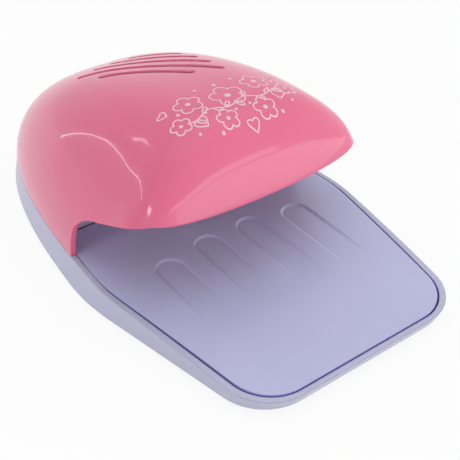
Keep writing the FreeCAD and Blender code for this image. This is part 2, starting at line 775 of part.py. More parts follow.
def contact_tail_y(cell_y):
    return cell_y - 1.6


def contact(cell_y):
    """Flat contact in the right end of the bay, with a solder tail through the bay's wall."""
    x0 = bay_half_length - contact_gap - contact_thickness
    plate = box(x0, x0 + contact_thickness, cell_y - contact_half_width, cell_y + contact_half_width,
                contact_z0, contact_z1)
    tail = box(x0, bay_half_length + bay_wall + tail_reach, contact_tail_y(cell_y) - terminal_width / 2,
               contact_tail_y(cell_y) + terminal_width / 2, tail_z, tail_z + terminal_thickness)
    return main_solid(plate.fuse(tail))


def tail_slot(cell_y):
    return box(bay_half_length - 0.5, bay_half_length + bay_wall + 0.5,
               contact_tail_y(cell_y) - terminal_width / 2 - tail_clearance,
               contact_tail_y(cell_y) + terminal_width / 2 + tail_clearance,
               tail_z - tail_clearance, tail_z + terminal_thickness + tail_clearance)


def battery_bridge():
    """One strip of sheet with a pad behind each cell."""
    x1 = contact_gap + contact_thickness - bay_half_length
    pads = [box(x1 - contact_thickness, x1, y - contact_half_width, y + contact_half_width, contact_z0, contact_z1)
            for y in (front_cell_y, rear_cell_y)]
    strip = box(x1 - contact_thickness, x1, front_cell_y, rear_cell_y, contact_z0, cell_z)
    return main_solid(strip.fuse(pads))


def cell(y, facing):
    """Cell with its nub against the contact on the side it faces."""
    nub_x = bay_half_length - contact_gap - contact_thickness
    body = bar(cell_radius, nub_x - cell_length, nub_x - cell_nub_length, y, cell_z)
    ends = [edge for edge in body.Edges if edge.Closed]
    shape = body.makeFillet(0.5, ends).fuse(bar(cell_nub_radius, nub_x - 2 * cell_nub_length, nub_x, y, cell_z))
    return shape if facing > 0 else flipped(shape)


def battery_spring(y, facing):
    """Spring behind a cell's flat end."""
    length = battery_spring_length - 2 * spring_end_gap
    spring = coil(battery_spring_radius, battery_spring_wire, length, battery_spring_turns)
    spring.rotate(Vector(0, 0, 0), Vector(0, 1, 0), 90)
    start = contact_gap + contact_thickness + spring_end_gap - bay_half_length
    spring.translate(Vector(start, y, cell_z))
    return spring if facing > 0 else flipped(spring)


def battery_door():
    panel = box(-bay_half_length + door_gap, bay_half_length - door_gap, door_front_y, door_rear_y, 0, floor)
    ear = box(-door_ear_half_width, door_ear_half_width, door_rear_y - 1, door_rear_y + door_ear_length
              - door_ear_half_width, 0, door_ear_height)
    ear = ear.fuse(post(door_ear_half_width, 0, door_rear_y + door_ear_length - door_ear_half_width, 0,
                        door_ear_height))
    low = floor + door_tab_lift
    half = door_tab_width / 2
    tab = box(door_tab_x - half, door_tab_x + half, bay_front_y - door_tab_reach, door_front_y + 1, low,
              low + door_tab_thickness)
    heel = box(door_tab_x - half, door_tab_x + half, door_front_y, door_front_y + 1, floor / 2, low + 0.1)
    head = post(small_head_radius + screw_clearance, 0, door_screw_y, -1, small_head_height + 0.1)
    hole = post(small_screw_radius + running_clearance, 0, door_screw_y, 0, door_ear_height + 1)
    return main_solid(panel.fuse([ear] + both(tab) + both(heel)).cut([head, hole]))


def door_opening():
    """Notches beside the bay: one for the door's ear, two for its tabs."""
    half = door_ear_half_width + door_gap
    end = door_rear_y + door_ear_length - door_ear_half_width
    ear = box(-half, half, bay_rear_y - 1, end, -1, door_ear_height + door_gap)
    ear = ear.fuse(post(half, 0, end, -1, door_ear_height + door_gap))
    half = door_tab_width / 2 + door_gap
    tab = box(door_tab_x - half, door_tab_x + half, bay_front_y - bay_wall - 1, bay_front_y + 1, floor,
              floor + door_tab_lift + door_tab_thickness + door_tab_swing)
    return [ear] + both(tab)


def door_screw():
    shape = small_screw(door_screw_length)
    shape.rotate(Vector(0, 0, 0), Vector(1, 0, 0), 180)
    shape.translate(Vector(0, door_screw_y, small_head_height + 0.1))
    return shape


def lower_housing():
    hollow = tray(wall).common(box(-far, far, -far, far, floor, seam_z + 1))
    shell = main_solid(tray().cut(hollow).cut(over(rim_top, -foot_y, foot_y)))
    inner = tray(wall / 2)
    adds = [battery_bay(bay_wall)]
    cuts = [battery_bay(0.0), tail_slot(front_cell_y), tail_slot(rear_cell_y)] + door_opening()
    for x, y in both_sides(housing_screw_places):
        adds.append(post(pillar_radius, x, y, 0, seam_z))
        cuts.append(post(screw_head_radius + screw_clearance, x, y, -1, screw_seat_z))
        cuts.append(post(screw_radius + screw_clearance, x, y, 0, seam_z + 1))
    for x, y in both_sides([(guard_screw_x, guard_screw_y)]):
        adds.append(post(guard_post_radius, x, y, 0, guard_bottom_z))
        cuts.append(post(small_screw_radius + running_clearance, x, y, floor + screw_tip_room, seam_z))
    for x0, x1 in hinge_ear_spans():
        ear = bar(knuckle_radius, x0, x1, hinge_y, hinge_z)
        ear = ear.fuse(box(x0, x1, hinge_y - knuckle_radius, hinge_y + knuckle_radius, floor / 2, hinge_z))
        adds += both(ear)
    cuts.append(bar(hinge_pin_radius + running_clearance, -hinge_x - far / 4, hinge_x + far / 4, hinge_y, hinge_z)
                .common(box(-hinge_x - knuckle_width, hinge_x + knuckle_width, 0, far, 0, far)))
    for x, y in both_sides([(spring_x, spring_y)]):
        adds.append(post(spring_peg_radius, x, y, floor / 2, floor + spring_peg_height))
    post_z = door_ear_height + door_gap
    adds.append(post(door_post_radius, 0, door_screw_y, post_z, post_z + door_post_height)
                .fuse(box(-door_post_radius, door_post_radius, bay_rear_y + bay_wall / 2, door_screw_y, post_z,
                          post_z + door_post_height)))
    play = small_screw_radius + door_screw_play
    cuts.append(post(play, 0, door_screw_y, 0, small_head_height + door_screw_length + 2 * screw_tip_room))
    cuts += [post(foot_radius + running_clearance, x, y, -1, foot_recess) for x, y in both_sides(foot_places)]
    return main_solid(shell.fuse(adds).cut(cuts))


def rubber_feet():
    feet = []
    for x, y in both_sides(foot_places):
        foot = post(foot_radius, x, y, -foot_height, foot_recess)
        rim = [edge for edge in foot.Edges if edge.Closed and abs(edge.CenterOfMass.z + foot_height) < 1e-6]
        feet.append(foot.makeFillet(foot_height / 2, rim))
    return feet


def housing_screws():
    screws = []
    for x, y in both_sides(housing_screw_places):
        shape = screw(screw_head_radius, screw_head_height, screw_radius, screw_length)
        shape.rotate(Vector(0, 0, 0), Vector(1, 0, 0), 180)
        shape.translate(Vector(x, y, screw_seat_z))
        screws.append(shape)
    return screws


# Switch and leads.

def switch_body():
    half = switch_width / 2
    top = floor + switch_height
    body = box(-half, half, switch_y - half, switch_y + half, floor, top)
    body = body.makeChamfer(0.4, [edge for edge in body.Edges if abs(edge.CenterOfMass.z - top) < 1e-6])
    bottom = top + plunger_rise - plunger_length - plunger_room
    return body.cut(post(plunger_radius + running_clearance, 0, switch_y, bottom, top + 1))


def switch_plunger():
    top = floor + switch_height + plunger_rise
    return post(plunger_radius, 0, switch_y, top - plunger_length, top)


def switch_terminals():
    x = battery_to_switch_route[-1][0]
    y0 = switch_y + switch_width / 2
    z = battery_to_switch_route[-1][2]
    tab = box(x - terminal_width / 2, x + terminal_width / 2, y0, y0 + switch_terminal_length,
              z - terminal_thickness / 2, z + terminal_thickness / 2)
    return both(tab)


def lead(name, route):
    """Wire along straight runs joined by tangent arcs as large as the runs allow."""
    points = [Vector(*point) for point in route]
    edges = []
    radii = []
    start = points[0]
    for before, corner, after in zip(points, points[1:], points[2:]):
        back = before - corner
        ahead = after - corner
        reach = 0.45 * min(back.Length, ahead.Length)
        half_turn = (math.pi - back.getAngle(ahead)) / 2
        radius = reach / math.tan(half_turn)
        back.normalize()
        ahead.normalize()
        first = corner + back * reach
        last = corner + ahead * reach
        inward = (back + ahead).normalize()
        middle = corner + inward * (radius / math.cos(half_turn) - radius)
        edges += [Part.makeLine(start, first), Part.Arc(first, middle, last).toShape()]
        radii.append(round(radius, 1))
        start = last
    edges.append(Part.makeLine(start, points[-1]))
    path = Part.Wire(edges)
    section = Part.Wire(Part.makeCircle(lead_radius, points[0], points[1] - points[0]))
    tube = path.makePipeShell([section], True, True)
    print(name, "radii", radii, "volume", round(tube.Volume, 2),
          "section times length", round(math.pi * lead_radius ** 2 * path.Length, 2))
    return tube


def save(name, shapes):
    solids = [solid for shape in shapes for solid in shape.Solids]
    whole = (solids[0] if len(solids) == 1 else Part.makeCompound(solids)).copy()
    whole.translate(Vector(0, -(front_end() + rear_end()) / 2, foot_height))
    whole.exportStep("parts/" + name + ".step")
    size = whole.BoundBox
    print(name, len(solids), "valid" if whole.isValid() else "NOT VALID", round(whole.Volume, 1),
          [round(v, 2) for v in (size.XMin, size.XMax, size.YMin, size.YMax, size.ZMin, size.ZMax)])


def main():
    os.makedirs("parts", exist_ok=True)
    save("upper_hood", [upper_hood()])
    save("lower_housing", [lower_housing()])
    save("finger_plate", [finger_plate()])
    save("plate_hinge_pins", both(hinge_pin()))
    save("plate_springs", both(plate_spring()))
    save("fan_guard", [fan_guard()])
    save("outlet_grille", [outlet_grille()])
    save("guard_screws", guard_screws())
    save("fan_impeller", [fan_impeller()])
    save("motor_shaft", [motor_shaft()])
    save("motor_bracket", [motor_bracket()])
    save("bracket_screws", bracket_screws())
    save("motor_screws", motor_screws())
    save("motor_can", [motor_can()])
    save("motor_end_cap", [motor_end_cap()])
    save("motor_terminals", motor_terminals())
    save("battery_front_cell", [cell(front_cell_y, 1)])
    save("battery_rear_cell", [cell(rear_cell_y, -1)])
    save("battery_springs", [battery_spring(front_cell_y, 1), battery_spring(rear_cell_y, -1)])
    save("battery_contacts", [contact(front_cell_y), contact(rear_cell_y)])
    save("battery_bridge", [battery_bridge()])
    save("battery_door", [battery_door()])
    save("door_screw", [door_screw()])
    save("switch_body", [switch_body()])
    save("switch_plunger", [switch_plunger()])
    save("switch_terminals", switch_terminals())
    save("housing_screws", housing_screws())
    save("rubber_feet", rubber_feet())
    save("lead_battery_to_switch", [lead("battery to switch", battery_to_switch_route)])
    save("lead_switch_to_motor", [lead("switch to motor", switch_to_motor_route)])
    save("lead_motor_to_battery", [lead("motor to battery", motor_to_battery_route)])


main()
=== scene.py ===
import bpy
import json
import math
import numpy as np
from mathutils import Matrix, Vector


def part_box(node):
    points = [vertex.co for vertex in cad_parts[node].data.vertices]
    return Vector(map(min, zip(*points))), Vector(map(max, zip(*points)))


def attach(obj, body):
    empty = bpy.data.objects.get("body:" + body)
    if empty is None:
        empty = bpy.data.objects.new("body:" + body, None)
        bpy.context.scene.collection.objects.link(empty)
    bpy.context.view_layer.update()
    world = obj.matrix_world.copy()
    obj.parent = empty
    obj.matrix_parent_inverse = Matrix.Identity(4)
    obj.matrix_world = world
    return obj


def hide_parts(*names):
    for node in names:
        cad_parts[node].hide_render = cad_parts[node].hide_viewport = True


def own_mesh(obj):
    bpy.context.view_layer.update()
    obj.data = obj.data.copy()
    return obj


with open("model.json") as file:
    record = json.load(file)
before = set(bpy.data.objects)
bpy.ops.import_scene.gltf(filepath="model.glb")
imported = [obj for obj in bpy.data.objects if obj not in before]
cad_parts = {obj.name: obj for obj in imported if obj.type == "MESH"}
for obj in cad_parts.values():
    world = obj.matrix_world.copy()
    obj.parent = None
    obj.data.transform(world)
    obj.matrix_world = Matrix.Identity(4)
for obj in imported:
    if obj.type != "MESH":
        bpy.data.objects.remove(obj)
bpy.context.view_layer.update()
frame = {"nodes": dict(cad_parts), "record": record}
print("frame loaded:", len(frame["nodes"]), "nodes")

# Working sizes are in millimetres: stations count from the plate's front edge to the rear, heights from
# the housing's underside, and x is zero in the middle.
place = {
    "centreStation": 80.447,   # station of the footprint's centre
    "footHeight": 1.0,
}


def toRow(points):
    # millimetres and stations to metres in the row's frame
    shift = np.array([0.0, -place["centreStation"], place["footHeight"]])
    return (np.asarray(points, float) + shift) * 0.001


def unit(vectors):
    # each vector divided by its length
    return vectors / np.maximum(np.linalg.norm(vectors, axis=-1, keepdims=True), 1e-12)


def gridFaces(rows, cols, closeRows=False, closeCols=False, start=0):
    # quads between neighbouring points of a grid, wrapped where the grid closes on itself
    i = np.arange(rows if closeRows else rows - 1)[:, None]
    j = np.arange(cols if closeCols else cols - 1)[None, :]
    a = i * cols + j
    b = i * cols + (j + 1) % cols
    c = ((i + 1) % rows) * cols + (j + 1) % cols
    d = ((i + 1) % rows) * cols + j
    return np.stack([a, b, c, d], -1).reshape(-1, 4) + start


def cappedRings(rings):
    # rings of an even number of points, stacked; each end is closed by strips across it
    count, ring = rings.shape[:2]
    k = np.arange(ring // 2 - 1)
    cap = np.stack([ring - 1 - k, ring - 2 - k, k + 1, k], -1)
    faces = [gridFaces(count, ring, closeCols=True), cap, cap[:, ::-1] + (count - 1) * ring]
    return toRow(rings.reshape(-1, 3)), np.concatenate(faces)


def circle(radius, count=32):
    # evenly turned points: radius times cosine and sine
    turn = np.linspace(0, 2 * np.pi, count + 1)[:-1]
    return np.column_stack([np.cos(turn), np.sin(turn)]) * radius


def signedVolume(points, faces):
    # a sixth of the sum of a · (b × c) over each quad's two triangles; below zero when a shell is inside out
    a, b, c, d = (points[faces[:, k]] for k in range(4))
    return (np.einsum("ij,ij->i", a, np.cross(b, c)) + np.einsum("ij,ij->i", a, np.cross(c, d))).sum() / 6


def meshPiece(name, shells, smooth=True):
    # shells is a list of (points in metres, quads); each closed shell is turned to face outwards
    points, faces, count = [], [], 0
    for shellPoints, shellFaces in shells:
        if signedVolume(shellPoints, shellFaces) < 0:
            shellFaces = shellFaces[:, ::-1]
        points.append(shellPoints)
        faces.append(shellFaces + count)
        count += len(shellPoints)
    points = np.concatenate(points)
    faces = np.concatenate(faces)
    mesh = bpy.data.meshes.new(name)
    mesh.vertices.add(len(points))
    mesh.vertices.foreach_set("co", points.astype(np.float32).ravel())
    mesh.loops.add(faces.size)
    mesh.loops.foreach_set("vertex_index", faces.astype(np.int32).ravel())
    mesh.polygons.add(len(faces))
    mesh.polygons.foreach_set("loop_start", np.arange(0, faces.size, 4, dtype=np.int32))
    mesh.polygons.foreach_set("use_smooth", np.full(len(faces), smooth))
    mesh.update(calc_edges=True)
    mesh.validate()
    piece = bpy.data.objects.new(name, mesh)
    bpy.context.scene.collection.objects.link(piece)
    return piece


def finished(piece):
    # the piece's modifiers worked into its mesh
    graph = bpy.context.evaluated_depsgraph_get()
    mesh = bpy.data.meshes.new_from_object(piece.evaluated_get(graph))
    piece.modifiers.clear()
    old = piece.data
    piece.data = mesh
    bpy.data.meshes.remove(old)


# Hood: a crown line in the middle plane that shrinks towards the waist as it moves out sideways,
# with two cheek flats and a nose flat pressed into it.
hood = {
    "wall": 1.8,
    "seamHeight": 8.0,
    "summit": (64.3, 54.94),
    "base": 7.0,
    "reach": (97.5, 24.0),        # to the tail, to the nose
    "crownPower": (1.71, 2.98),
    "halfWidth": 45.5,
    "waist": 66.0,
    "acrossPower": (3.14, 3.12, 3.8),   # at tail, summit and nose
    "alongPower": (1.66, 1.5, 4.1),
    "flats": (((0.8678, 0.0689, 0.4922), 53.63, 0.7), ((-0.8678, 0.0689, 0.4922), 53.63, 0.7),
              ((0.0, -0.9848, 0.1736), -36.05, 0.7)),   # outward direction, distance, softness of the crease
    "softCorner": (44.0, 12.0, 33.0, 6.0, 3.4, 0.9),   # station, length, height, spread, softness, fullness
    "brim": (31.3, 33.8, 37.0),   # height at the middle, height at the corner, half width at the corner
    "mouthSide": ((79.4, 8.0), (79.5, 13.0), (79.1, 17.0), (77.0, 20.3), (72.0, 23.9), (65.0, 26.4),
                  (56.2, 29.8), (46.0, 33.8)),   # station and height, from the seam up to the brim
    "brimRound": 0.55,
    "seamRound": 0.3,
    "seatRound": 0.1,             # the same at the seam, inside
    "sideEnd": 47.0,              # station where the mouth's sides go over into the brim
    "sideColumns": 0.36,          # share of the columns that the mouth's sides take
    "mouthShare": 0.27,           # share of the mouth's length at their end
    "seamShare": 0.2,             # share of the seam's length at their end
    "columns": 261,
    "rows": 170,
}


def domePoints(angle, across, inset=0.0):
    # superellipse crown (|y| / reach)^p + (z / height)^p = 1, scaled towards the waist by
    # (1 - |across|^n)^(1/m); n and m go from the summit's to the tail's or the nose's with (|y| / reach)^p
    angle, across = np.broadcast_arrays(np.asarray(angle, float), np.asarray(across, float))
    rear = angle <= np.pi / 2
    reach = np.where(rear, hood["reach"][0], hood["reach"][1]) - inset
    power = np.where(rear, hood["crownPower"][0], hood["crownPower"][1])
    height = hood["summit"][1] - hood["base"] - inset
    c, s = np.abs(np.cos(angle)) / reach, np.abs(np.sin(angle)) / height
    radius = (c ** power + s ** power) ** (-1 / power)
    share = (radius * c) ** power
    y = hood["summit"][0] + radius * np.cos(angle)
    z = hood["base"] + radius * np.abs(np.sin(angle))

    def mixed(values):
        return values[1] + (np.where(rear, values[0], values[2]) - values[1]) * share

    shrink = np.maximum(1 - np.abs(across) ** mixed(hood["acrossPower"]), 0)
    shrink = shrink ** (1 / mixed(hood["alongPower"]))
    points = np.stack([(hood["halfWidth"] - inset) * across,
                       hood["waist"] + (y - hood["waist"]) * shrink,
                       hood["base"] + (z - hood["base"]) * shrink], -1)
    return pressFlats(points, inset)


def pressFlats(points, inset):
    # each flat pushes what stands over its plane back onto it by half of over + sqrt(over^2 + softness^2);
    # near the mouth's two upper corners the crease fades out wider and the wall is fuller
    station, length, height, spread, extra, fullness = hood["softCorner"]
    fade = extra * np.exp(-((points[..., 1] - station) / length) ** 2
                          - ((points[..., 2] - height) / spread) ** 2)
    for direction, offset, width in hood["flats"]:
        size = np.linalg.norm(direction)
        normal = np.array(direction) / size
        over = points @ normal - (offset / size - inset)
        push = 0.5 * (over + np.sqrt(over * over + (width + fade) ** 2) - fade * fullness)
        points = points - push[..., None] * normal
    return points


def smoothLine(knots, count=400):
    # Catmull-Rom line through the knots, mirrored past its two ends
    knots = np.array(knots, float)
    padded = np.vstack([2 * knots[0] - knots[1], knots, 2 * knots[-1] - knots[-2]])
    t = np.linspace(0, len(knots) - 1 - 1e-9, count)
    k = t.astype(int)
    f = (t - k)[:, None]
    a, b, c, d = (padded[k + n] for n in range(4))
    square, cube = (2 * a - 5 * b + 4 * c - d) * f ** 2, (3 * b - a - 3 * c + d) * f ** 3
    return 0.5 * (2 * b + (c - a) * f + square + cube)


mouthLine = smoothLine(hood["mouthSide"])


def keptByMouth(points):
    # above zero outside the mouth: over the brim's arch, low + (high - low)(x / half)^2, or behind the
    # mouth's side line
    x, y, z = points[..., 0], points[..., 1], points[..., 2]
    low, high, half = hood["brim"]
    arch = low + (high - low) * np.minimum(np.abs(x) / half, 1) ** 2
    front = np.interp(z, mouthLine[:, 1], mouthLine[:, 0])
    wellAbove = 50.0
    return np.where(z > mouthLine[-1, 1], wellAbove, np.maximum(z - arch, y - front))


def firstBelow(values):
    # fractional index where each row of values first passes from above zero to below it
    below = values < 0
    k = np.maximum(np.argmax(below, axis=1), 1)
    row = np.arange(len(values))
    a, b = values[row, k - 1], values[row, k]
    return k - 1 + a / (a - b)


def hoodCurves(inset):
    # turn and across of the seam's line and of the mouth's, both from the left foot's front corner to the
    # right one's; the third pair is the turn and the arcsine of across along the mouth's right side
    angles = np.linspace(0, np.pi, 2400)
    rear, nose = angles[:1200], angles[1200:]
    # the widest share across is the one whose column meets the seam at the foot's front corner; 60 degrees
    # of turn are enough to find it
    tries = np.linspace(0.9, 0.9985, 120)
    foot = domePoints(rear[None, :800], tries[:, None], inset)
    atSeam = firstBelow(hood["seamHeight"] - foot[..., 2]).astype(int)
    corner = hood["mouthSide"][0][0] + 0.02
    widest = np.interp(-corner, -foot[np.arange(tries.size), atSeam, 1], tries)
    steepest = math.radians(88)
    across = widest * np.sin(np.linspace(-1, 1, 1201) * steepest) / math.sin(steepest)
    points = domePoints(rear[None, :], across[:, None], inset)
    seamTurns = np.interp(firstBelow(hood["seamHeight"] - points[..., 2]), np.arange(rear.size), rear)
    # sides of the mouth: at each turn, the share across where the dome runs out
    pastBrim, nearMiddle, nearRim = (math.radians(degrees) for degrees in (136, 30, 89))
    turns = np.linspace(seamTurns[0], pastBrim, 900)
    outwards = np.sin(np.linspace(nearMiddle, nearRim, 1500))
    kept = keptByMouth(domePoints(turns[:, None], outwards[None, :], inset))
    side = np.interp(firstBelow(kept), np.arange(outwards.size), outwards)
    last = np.argmax(domePoints(turns, side, inset)[:, 1] < hood["sideEnd"])
    turns, side = turns[:last], side[:last]
    # brim: at each share across, the turn where the dome runs out
    brim = np.linspace(-side[-1], side[-1], 500)[1:-1]
    kept = keptByMouth(domePoints(nose[None, :], brim[:, None], inset))
    brimTurns = np.interp(firstBelow(kept), np.arange(nose.size), nose)
    mouth = np.concatenate([turns, brimTurns, turns[::-1]]), np.concatenate([-side, brim, side[::-1]])
    return (seamTurns, across), mouth, (turns, np.arcsin(side))


outerCurves = hoodCurves(0.0)
seamTurns, seamAcross = outerCurves[0]
seamLine = domePoints(seamTurns, seamAcross)[:, :2]   # x and station along the outside's lower edge


def onCurve(curve, inset, shares):
    # turn and across at shares of a curve's length
    points = domePoints(*curve, inset)
    length = np.concatenate([[0], np.cumsum(np.linalg.norm(np.diff(points, axis=0), axis=1))])
    return tuple(np.interp(shares * length[-1], length, values) for values in curve)


def hoodColumns(inset, starts, stops, bound, rows, edgeRound, seamRound):
    # evenly spaced points of the dome from each place on the seam to its partner on the mouth's edge; on
    # the way the turn and the share of the room between the mouth's sides both change evenly
    t = np.linspace(0, 1, 1200)[None, :]
    turns = starts[0][:, None] * (1 - t) + stops[0][:, None] * t
    first, last = (np.arcsin(across) / np.interp(turn, *bound) for turn, across in (starts, stops))
    across = np.sin((first[:, None] * (1 - t) + last[:, None] * t) * np.interp(turns, *bound))
    line = domePoints(turns, across, inset)
    step = np.linalg.norm(np.diff(line, axis=1), axis=2)
    count = len(line)
    length = np.concatenate([np.zeros((count, 1)), np.cumsum(step, axis=1)], axis=1)
    total = length[:, -1]
    first = np.minimum(seamRound, total / 4)
    last = total - np.minimum(edgeRound, total / 4)
    wanted = first[:, None] + (last - first)[:, None] * np.linspace(0, 1, rows)[None, :]
    even = np.empty((count, rows, 3))
    for j in range(count):
        for axis in range(3):
            even[j, :, axis] = np.interp(wanted[j], length[j], line[j, :, axis])
    return even, line[:, 0], line[:, -1]


def roundEdge(before, corner, after, count=5):
    # quadratic curve (1 - t)^2 before + 2t(1 - t) corner + t^2 after, without its two ends
    t = np.linspace(0, 1, count + 2)[1:-1][None, :, None]
    return (1 - t) ** 2 * before[:, None] + 2 * t * (1 - t) * corner[:, None] + t ** 2 * after[:, None]


def towards(a, b, distance):
    # the point at a distance from a on the way to b, at most 0.4 of the way
    gap = b - a
    size = np.linalg.norm(gap, axis=-1, keepdims=True)
    return a + gap * np.minimum(distance / np.maximum(size, 1e-9), 0.4)


def hoodShell():
    # each column is a closed loop: outside from seam to mouth, round its edge, inside back, round the seam;
    # an inner column ends where the inside's edge lies nearest to its outer column's end
    cols, rows, wall = hood["columns"], hood["rows"], hood["wall"]
    brimRound, seamRound = hood["brimRound"], hood["seamRound"]
    half, stops = np.linspace(0, 1, cols // 2 + 1), (0, hood["sideColumns"], 1)
    # shares of the two lengths, from just inside the left end to the middle, then mirrored
    atMouth = np.interp(half, stops, (0.001, hood["mouthShare"], 0.5))
    atSeam = np.interp(half, stops, (0.0005, hood["seamShare"], 0.5))
    atMouth, atSeam = (np.concatenate([share, 1 - share[-2::-1]]) for share in (atMouth, atSeam))
    seam, mouth, bound = outerCurves
    starts, ends = onCurve(seam, 0.0, atSeam), onCurve(mouth, 0.0, atMouth)
    outer, outerSeam, outerBrim = hoodColumns(0.0, starts, ends, bound, rows, brimRound, seamRound)
    seam, mouth, bound = hoodCurves(wall)
    tries = np.linspace(0.0005, 0.9995, 2401)
    edge = domePoints(*onCurve(mouth, wall, tries), wall)
    nearest = tries[np.linalg.norm(outerBrim[:, None] - edge[None], axis=2).argmin(axis=1)]
    nearest = np.maximum.accumulate(nearest) + np.linspace(-1e-4, 1e-4, cols)   # no two the same
    starts, ends = onCurve(seam, wall, atSeam), onCurve(mouth, wall, nearest)
    inner, innerSeam, innerBrim = hoodColumns(wall, starts, ends, bound, rows // 2, brimRound / 2,
                                              hood["seatRound"])
    inner = inner[:, ::-1]
    edgeOut, edgeIn = towards(outerBrim, innerBrim, brimRound), towards(innerBrim, outerBrim, brimRound / 2)
    brim = [roundEdge(outer[:, -1], outerBrim, edgeOut), edgeOut[:, None],
            edgeIn[:, None], roundEdge(edgeIn, innerBrim, inner[:, 0], 3)]
    seat = towards(outerSeam, innerSeam, seamRound)
    seam = [innerSeam[:, None], seat[:, None], roundEdge(seat, outerSeam, outer[:, 0], 3)]
    loops = np.concatenate([outer] + brim + [inner] + seam, axis=1)
    around = loops.shape[1]
    faces = gridFaces(cols, around, closeCols=True)
    # the two end columns are hair-thin, so a strip across each closes it
    k = np.arange(around // 2 - 1)
    strip = np.stack([around - 1 - k, around - 2 - k, k + 1, k], -1)
    caps = [strip, strip[:, ::-1] + (cols - 1) * around]
    return toRow(loops.reshape(-1, 3)), np.concatenate([faces] + caps)


def heightAt(x, y):
    # height of the dome over a place in plan: along the column of that x, by its station
    x, y = np.asarray(x, float).ravel(), np.asarray(y, float).ravel()
    angles = np.linspace(0, np.pi, 1600)
    points = domePoints(angles[None, :], (x / hood["halfWidth"])[:, None])
    at = firstBelow(points[..., 1] - y[:, None])
    k = at.astype(int)
    row = np.arange(x.size)
    low, high = points[row, k, 2], points[row, np.minimum(k + 1, angles.size - 1), 2]
    return low + (high - low) * (at - k)


# Air slots: askew to the long axis, cut right through, with a softened lip.
vents = {
    "pitch": 5.5,
    "width": 1.7,
    "turn": -57.0,
    "middle": (-6.0, 94.6),
    "lengths": (32.0, 50.0, 40.5, 31.0, 19.0),
    "drift": -1.7,                # step of each slot along itself
    "lip": 0.5,
    "reach": (4.0, 1.2),          # how far the cutter goes under and over the dome
}


def ventCutter(number, length):
    # stadium outline in plan, a spine plus rays of half the width, carried from under the wall to above it
    # and flared where it meets the outside
    turn = math.radians(vents["turn"])
    along = np.array([math.cos(turn), math.sin(turn)])
    sideways = np.array([-along[1], along[0]])
    middle = np.array(vents["middle"]) + sideways * number * vents["pitch"] + along * number * vents["drift"]
    half = (length - vents["width"]) / 2
    bend = np.linspace(-np.pi / 2, np.pi / 2, 9)
    straight = np.linspace(-half, half, 25)[1:-1]
    ends = np.stack([half + 0 * bend, 0 * bend], -1)
    flat = np.stack([straight, 0 * straight], -1)
    spine = np.concatenate([ends, flat[::-1], -ends, flat])
    rounds = np.stack([np.cos(bend), np.sin(bend)], -1)
    rays = np.concatenate([rounds, flat * 0 + (0, 1), -rounds, flat * 0 - (0, 1)])
    onSpine = middle + spine[:, :1] * along + spine[:, 1:] * sideways
    height = heightAt(*onSpine.T)
    (under, over), lip = vents["reach"], vents["lip"]
    levels = ((-under, 0.0), (-lip, 0.0), (-lip * 0.3, 0.3 * lip), (0.05, lip), (over, lip + over / 2))
    rings = []
    for level, flare in levels:
        local = spine + rays * (vents["width"] / 2 + flare)
        plan = middle + local[:, :1] * along + local[:, 1:] * sideways
        rings.append(np.column_stack([plan, height + level]))
    return cappedRings(np.stack(rings))


# Inside the hood: four screw bosses under the dome and two locating lips that hang into the housing.
fittings = {
    "bosses": ((37.0, 97.5), (26.0, 141.0)),   # distance from the middle and station, one each side
    "bossRadius": 3.0,
    "boreRadius": 1.3,
    "chamfer": 0.3,
    "lipStations": (102.0, 128.0),
    "lipInset": 1.95,
    "lipThickness": 1.1,
    "lipDepth": 2.2,
}


def boss(x, y):
    # tube from the seam's level up into the wall, chamfered at its foot
    outside, inside = (circle(fittings[size]) + (x, y) for size in ("bossRadius", "boreRadius"))
    low = np.full(len(outside), hood["seamHeight"])
    insideTop, outsideTop = (heightAt(*ring.T) - hood["wall"] * 0.8 for ring in (inside, outside))
    rings = ((outside, low + fittings["chamfer"]), (outside * 0.9 + inside * 0.1, low), (inside, low),
             (inside, insideTop), (outside, outsideTop))
    rings = np.stack([np.column_stack(ring) for ring in rings])
    return toRow(rings.reshape(-1, 3)), gridFaces(*rings.shape[:2], closeRows=True, closeCols=True)


def locatingLip(side):
    # strip beside the seam's line: drawn inwards, from half a wall above the seam to below it
    first, last = fittings["lipStations"]
    onSide = (seamLine[:, 0] * side > 0) & (seamLine[:, 1] > first) & (seamLine[:, 1] < last)
    chosen = seamLine[onSide][::6]
    along = unit(np.gradient(chosen, axis=0))
    inwards = np.column_stack([-along[:, 1], along[:, 0]])
    inwards *= np.where(inwards[:, :1] * side > 0, -1, 1)
    near = chosen + inwards * fittings["lipInset"]
    far = near + inwards * fittings["lipThickness"]
    root = chosen + inwards * hood["wall"] * 0.5
    seam, chamfer = hood["seamHeight"], fittings["chamfer"]
    low, high, justOver = seam - fittings["lipDepth"], seam + fittings["lipThickness"], seam + 0.02
    corners = ((near, low + chamfer), (near * 0.75 + far * 0.25, low), (near * 0.25 + far * 0.75, low),
               (far, low + chamfer), (far, high), (root, high), (root, justOver), (near, justOver))
    return cappedRings(np.stack([np.column_stack([line, np.full(len(line), level)])
                                 for line, level in corners], 1))


hoodPiece = meshPiece("hoodShell", [hoodShell()])
cutter = meshPiece("ventCutter", [ventCutter(n, length) for n, length in enumerate(vents["lengths"])])
slotCut = hoodPiece.modifiers.new("slots", "BOOLEAN")
slotCut.operation = "DIFFERENCE"
slotCut.solver = "EXACT"
slotCut.object = cutter
finished(hoodPiece)
bpy.data.objects.remove(cutter)
bossShells = [boss(x * side, y) for x, y in fittings["bosses"] for side in (-1, 1)]
fittingPiece = meshPiece("hoodFittings", bossShells + [locatingLip(side) for side in (-1, 1)])
print("hood shell:", len(hoodPiece.data.polygons), "faces")
print("fittings:", len(fittingPiece.data.polygons), "faces")


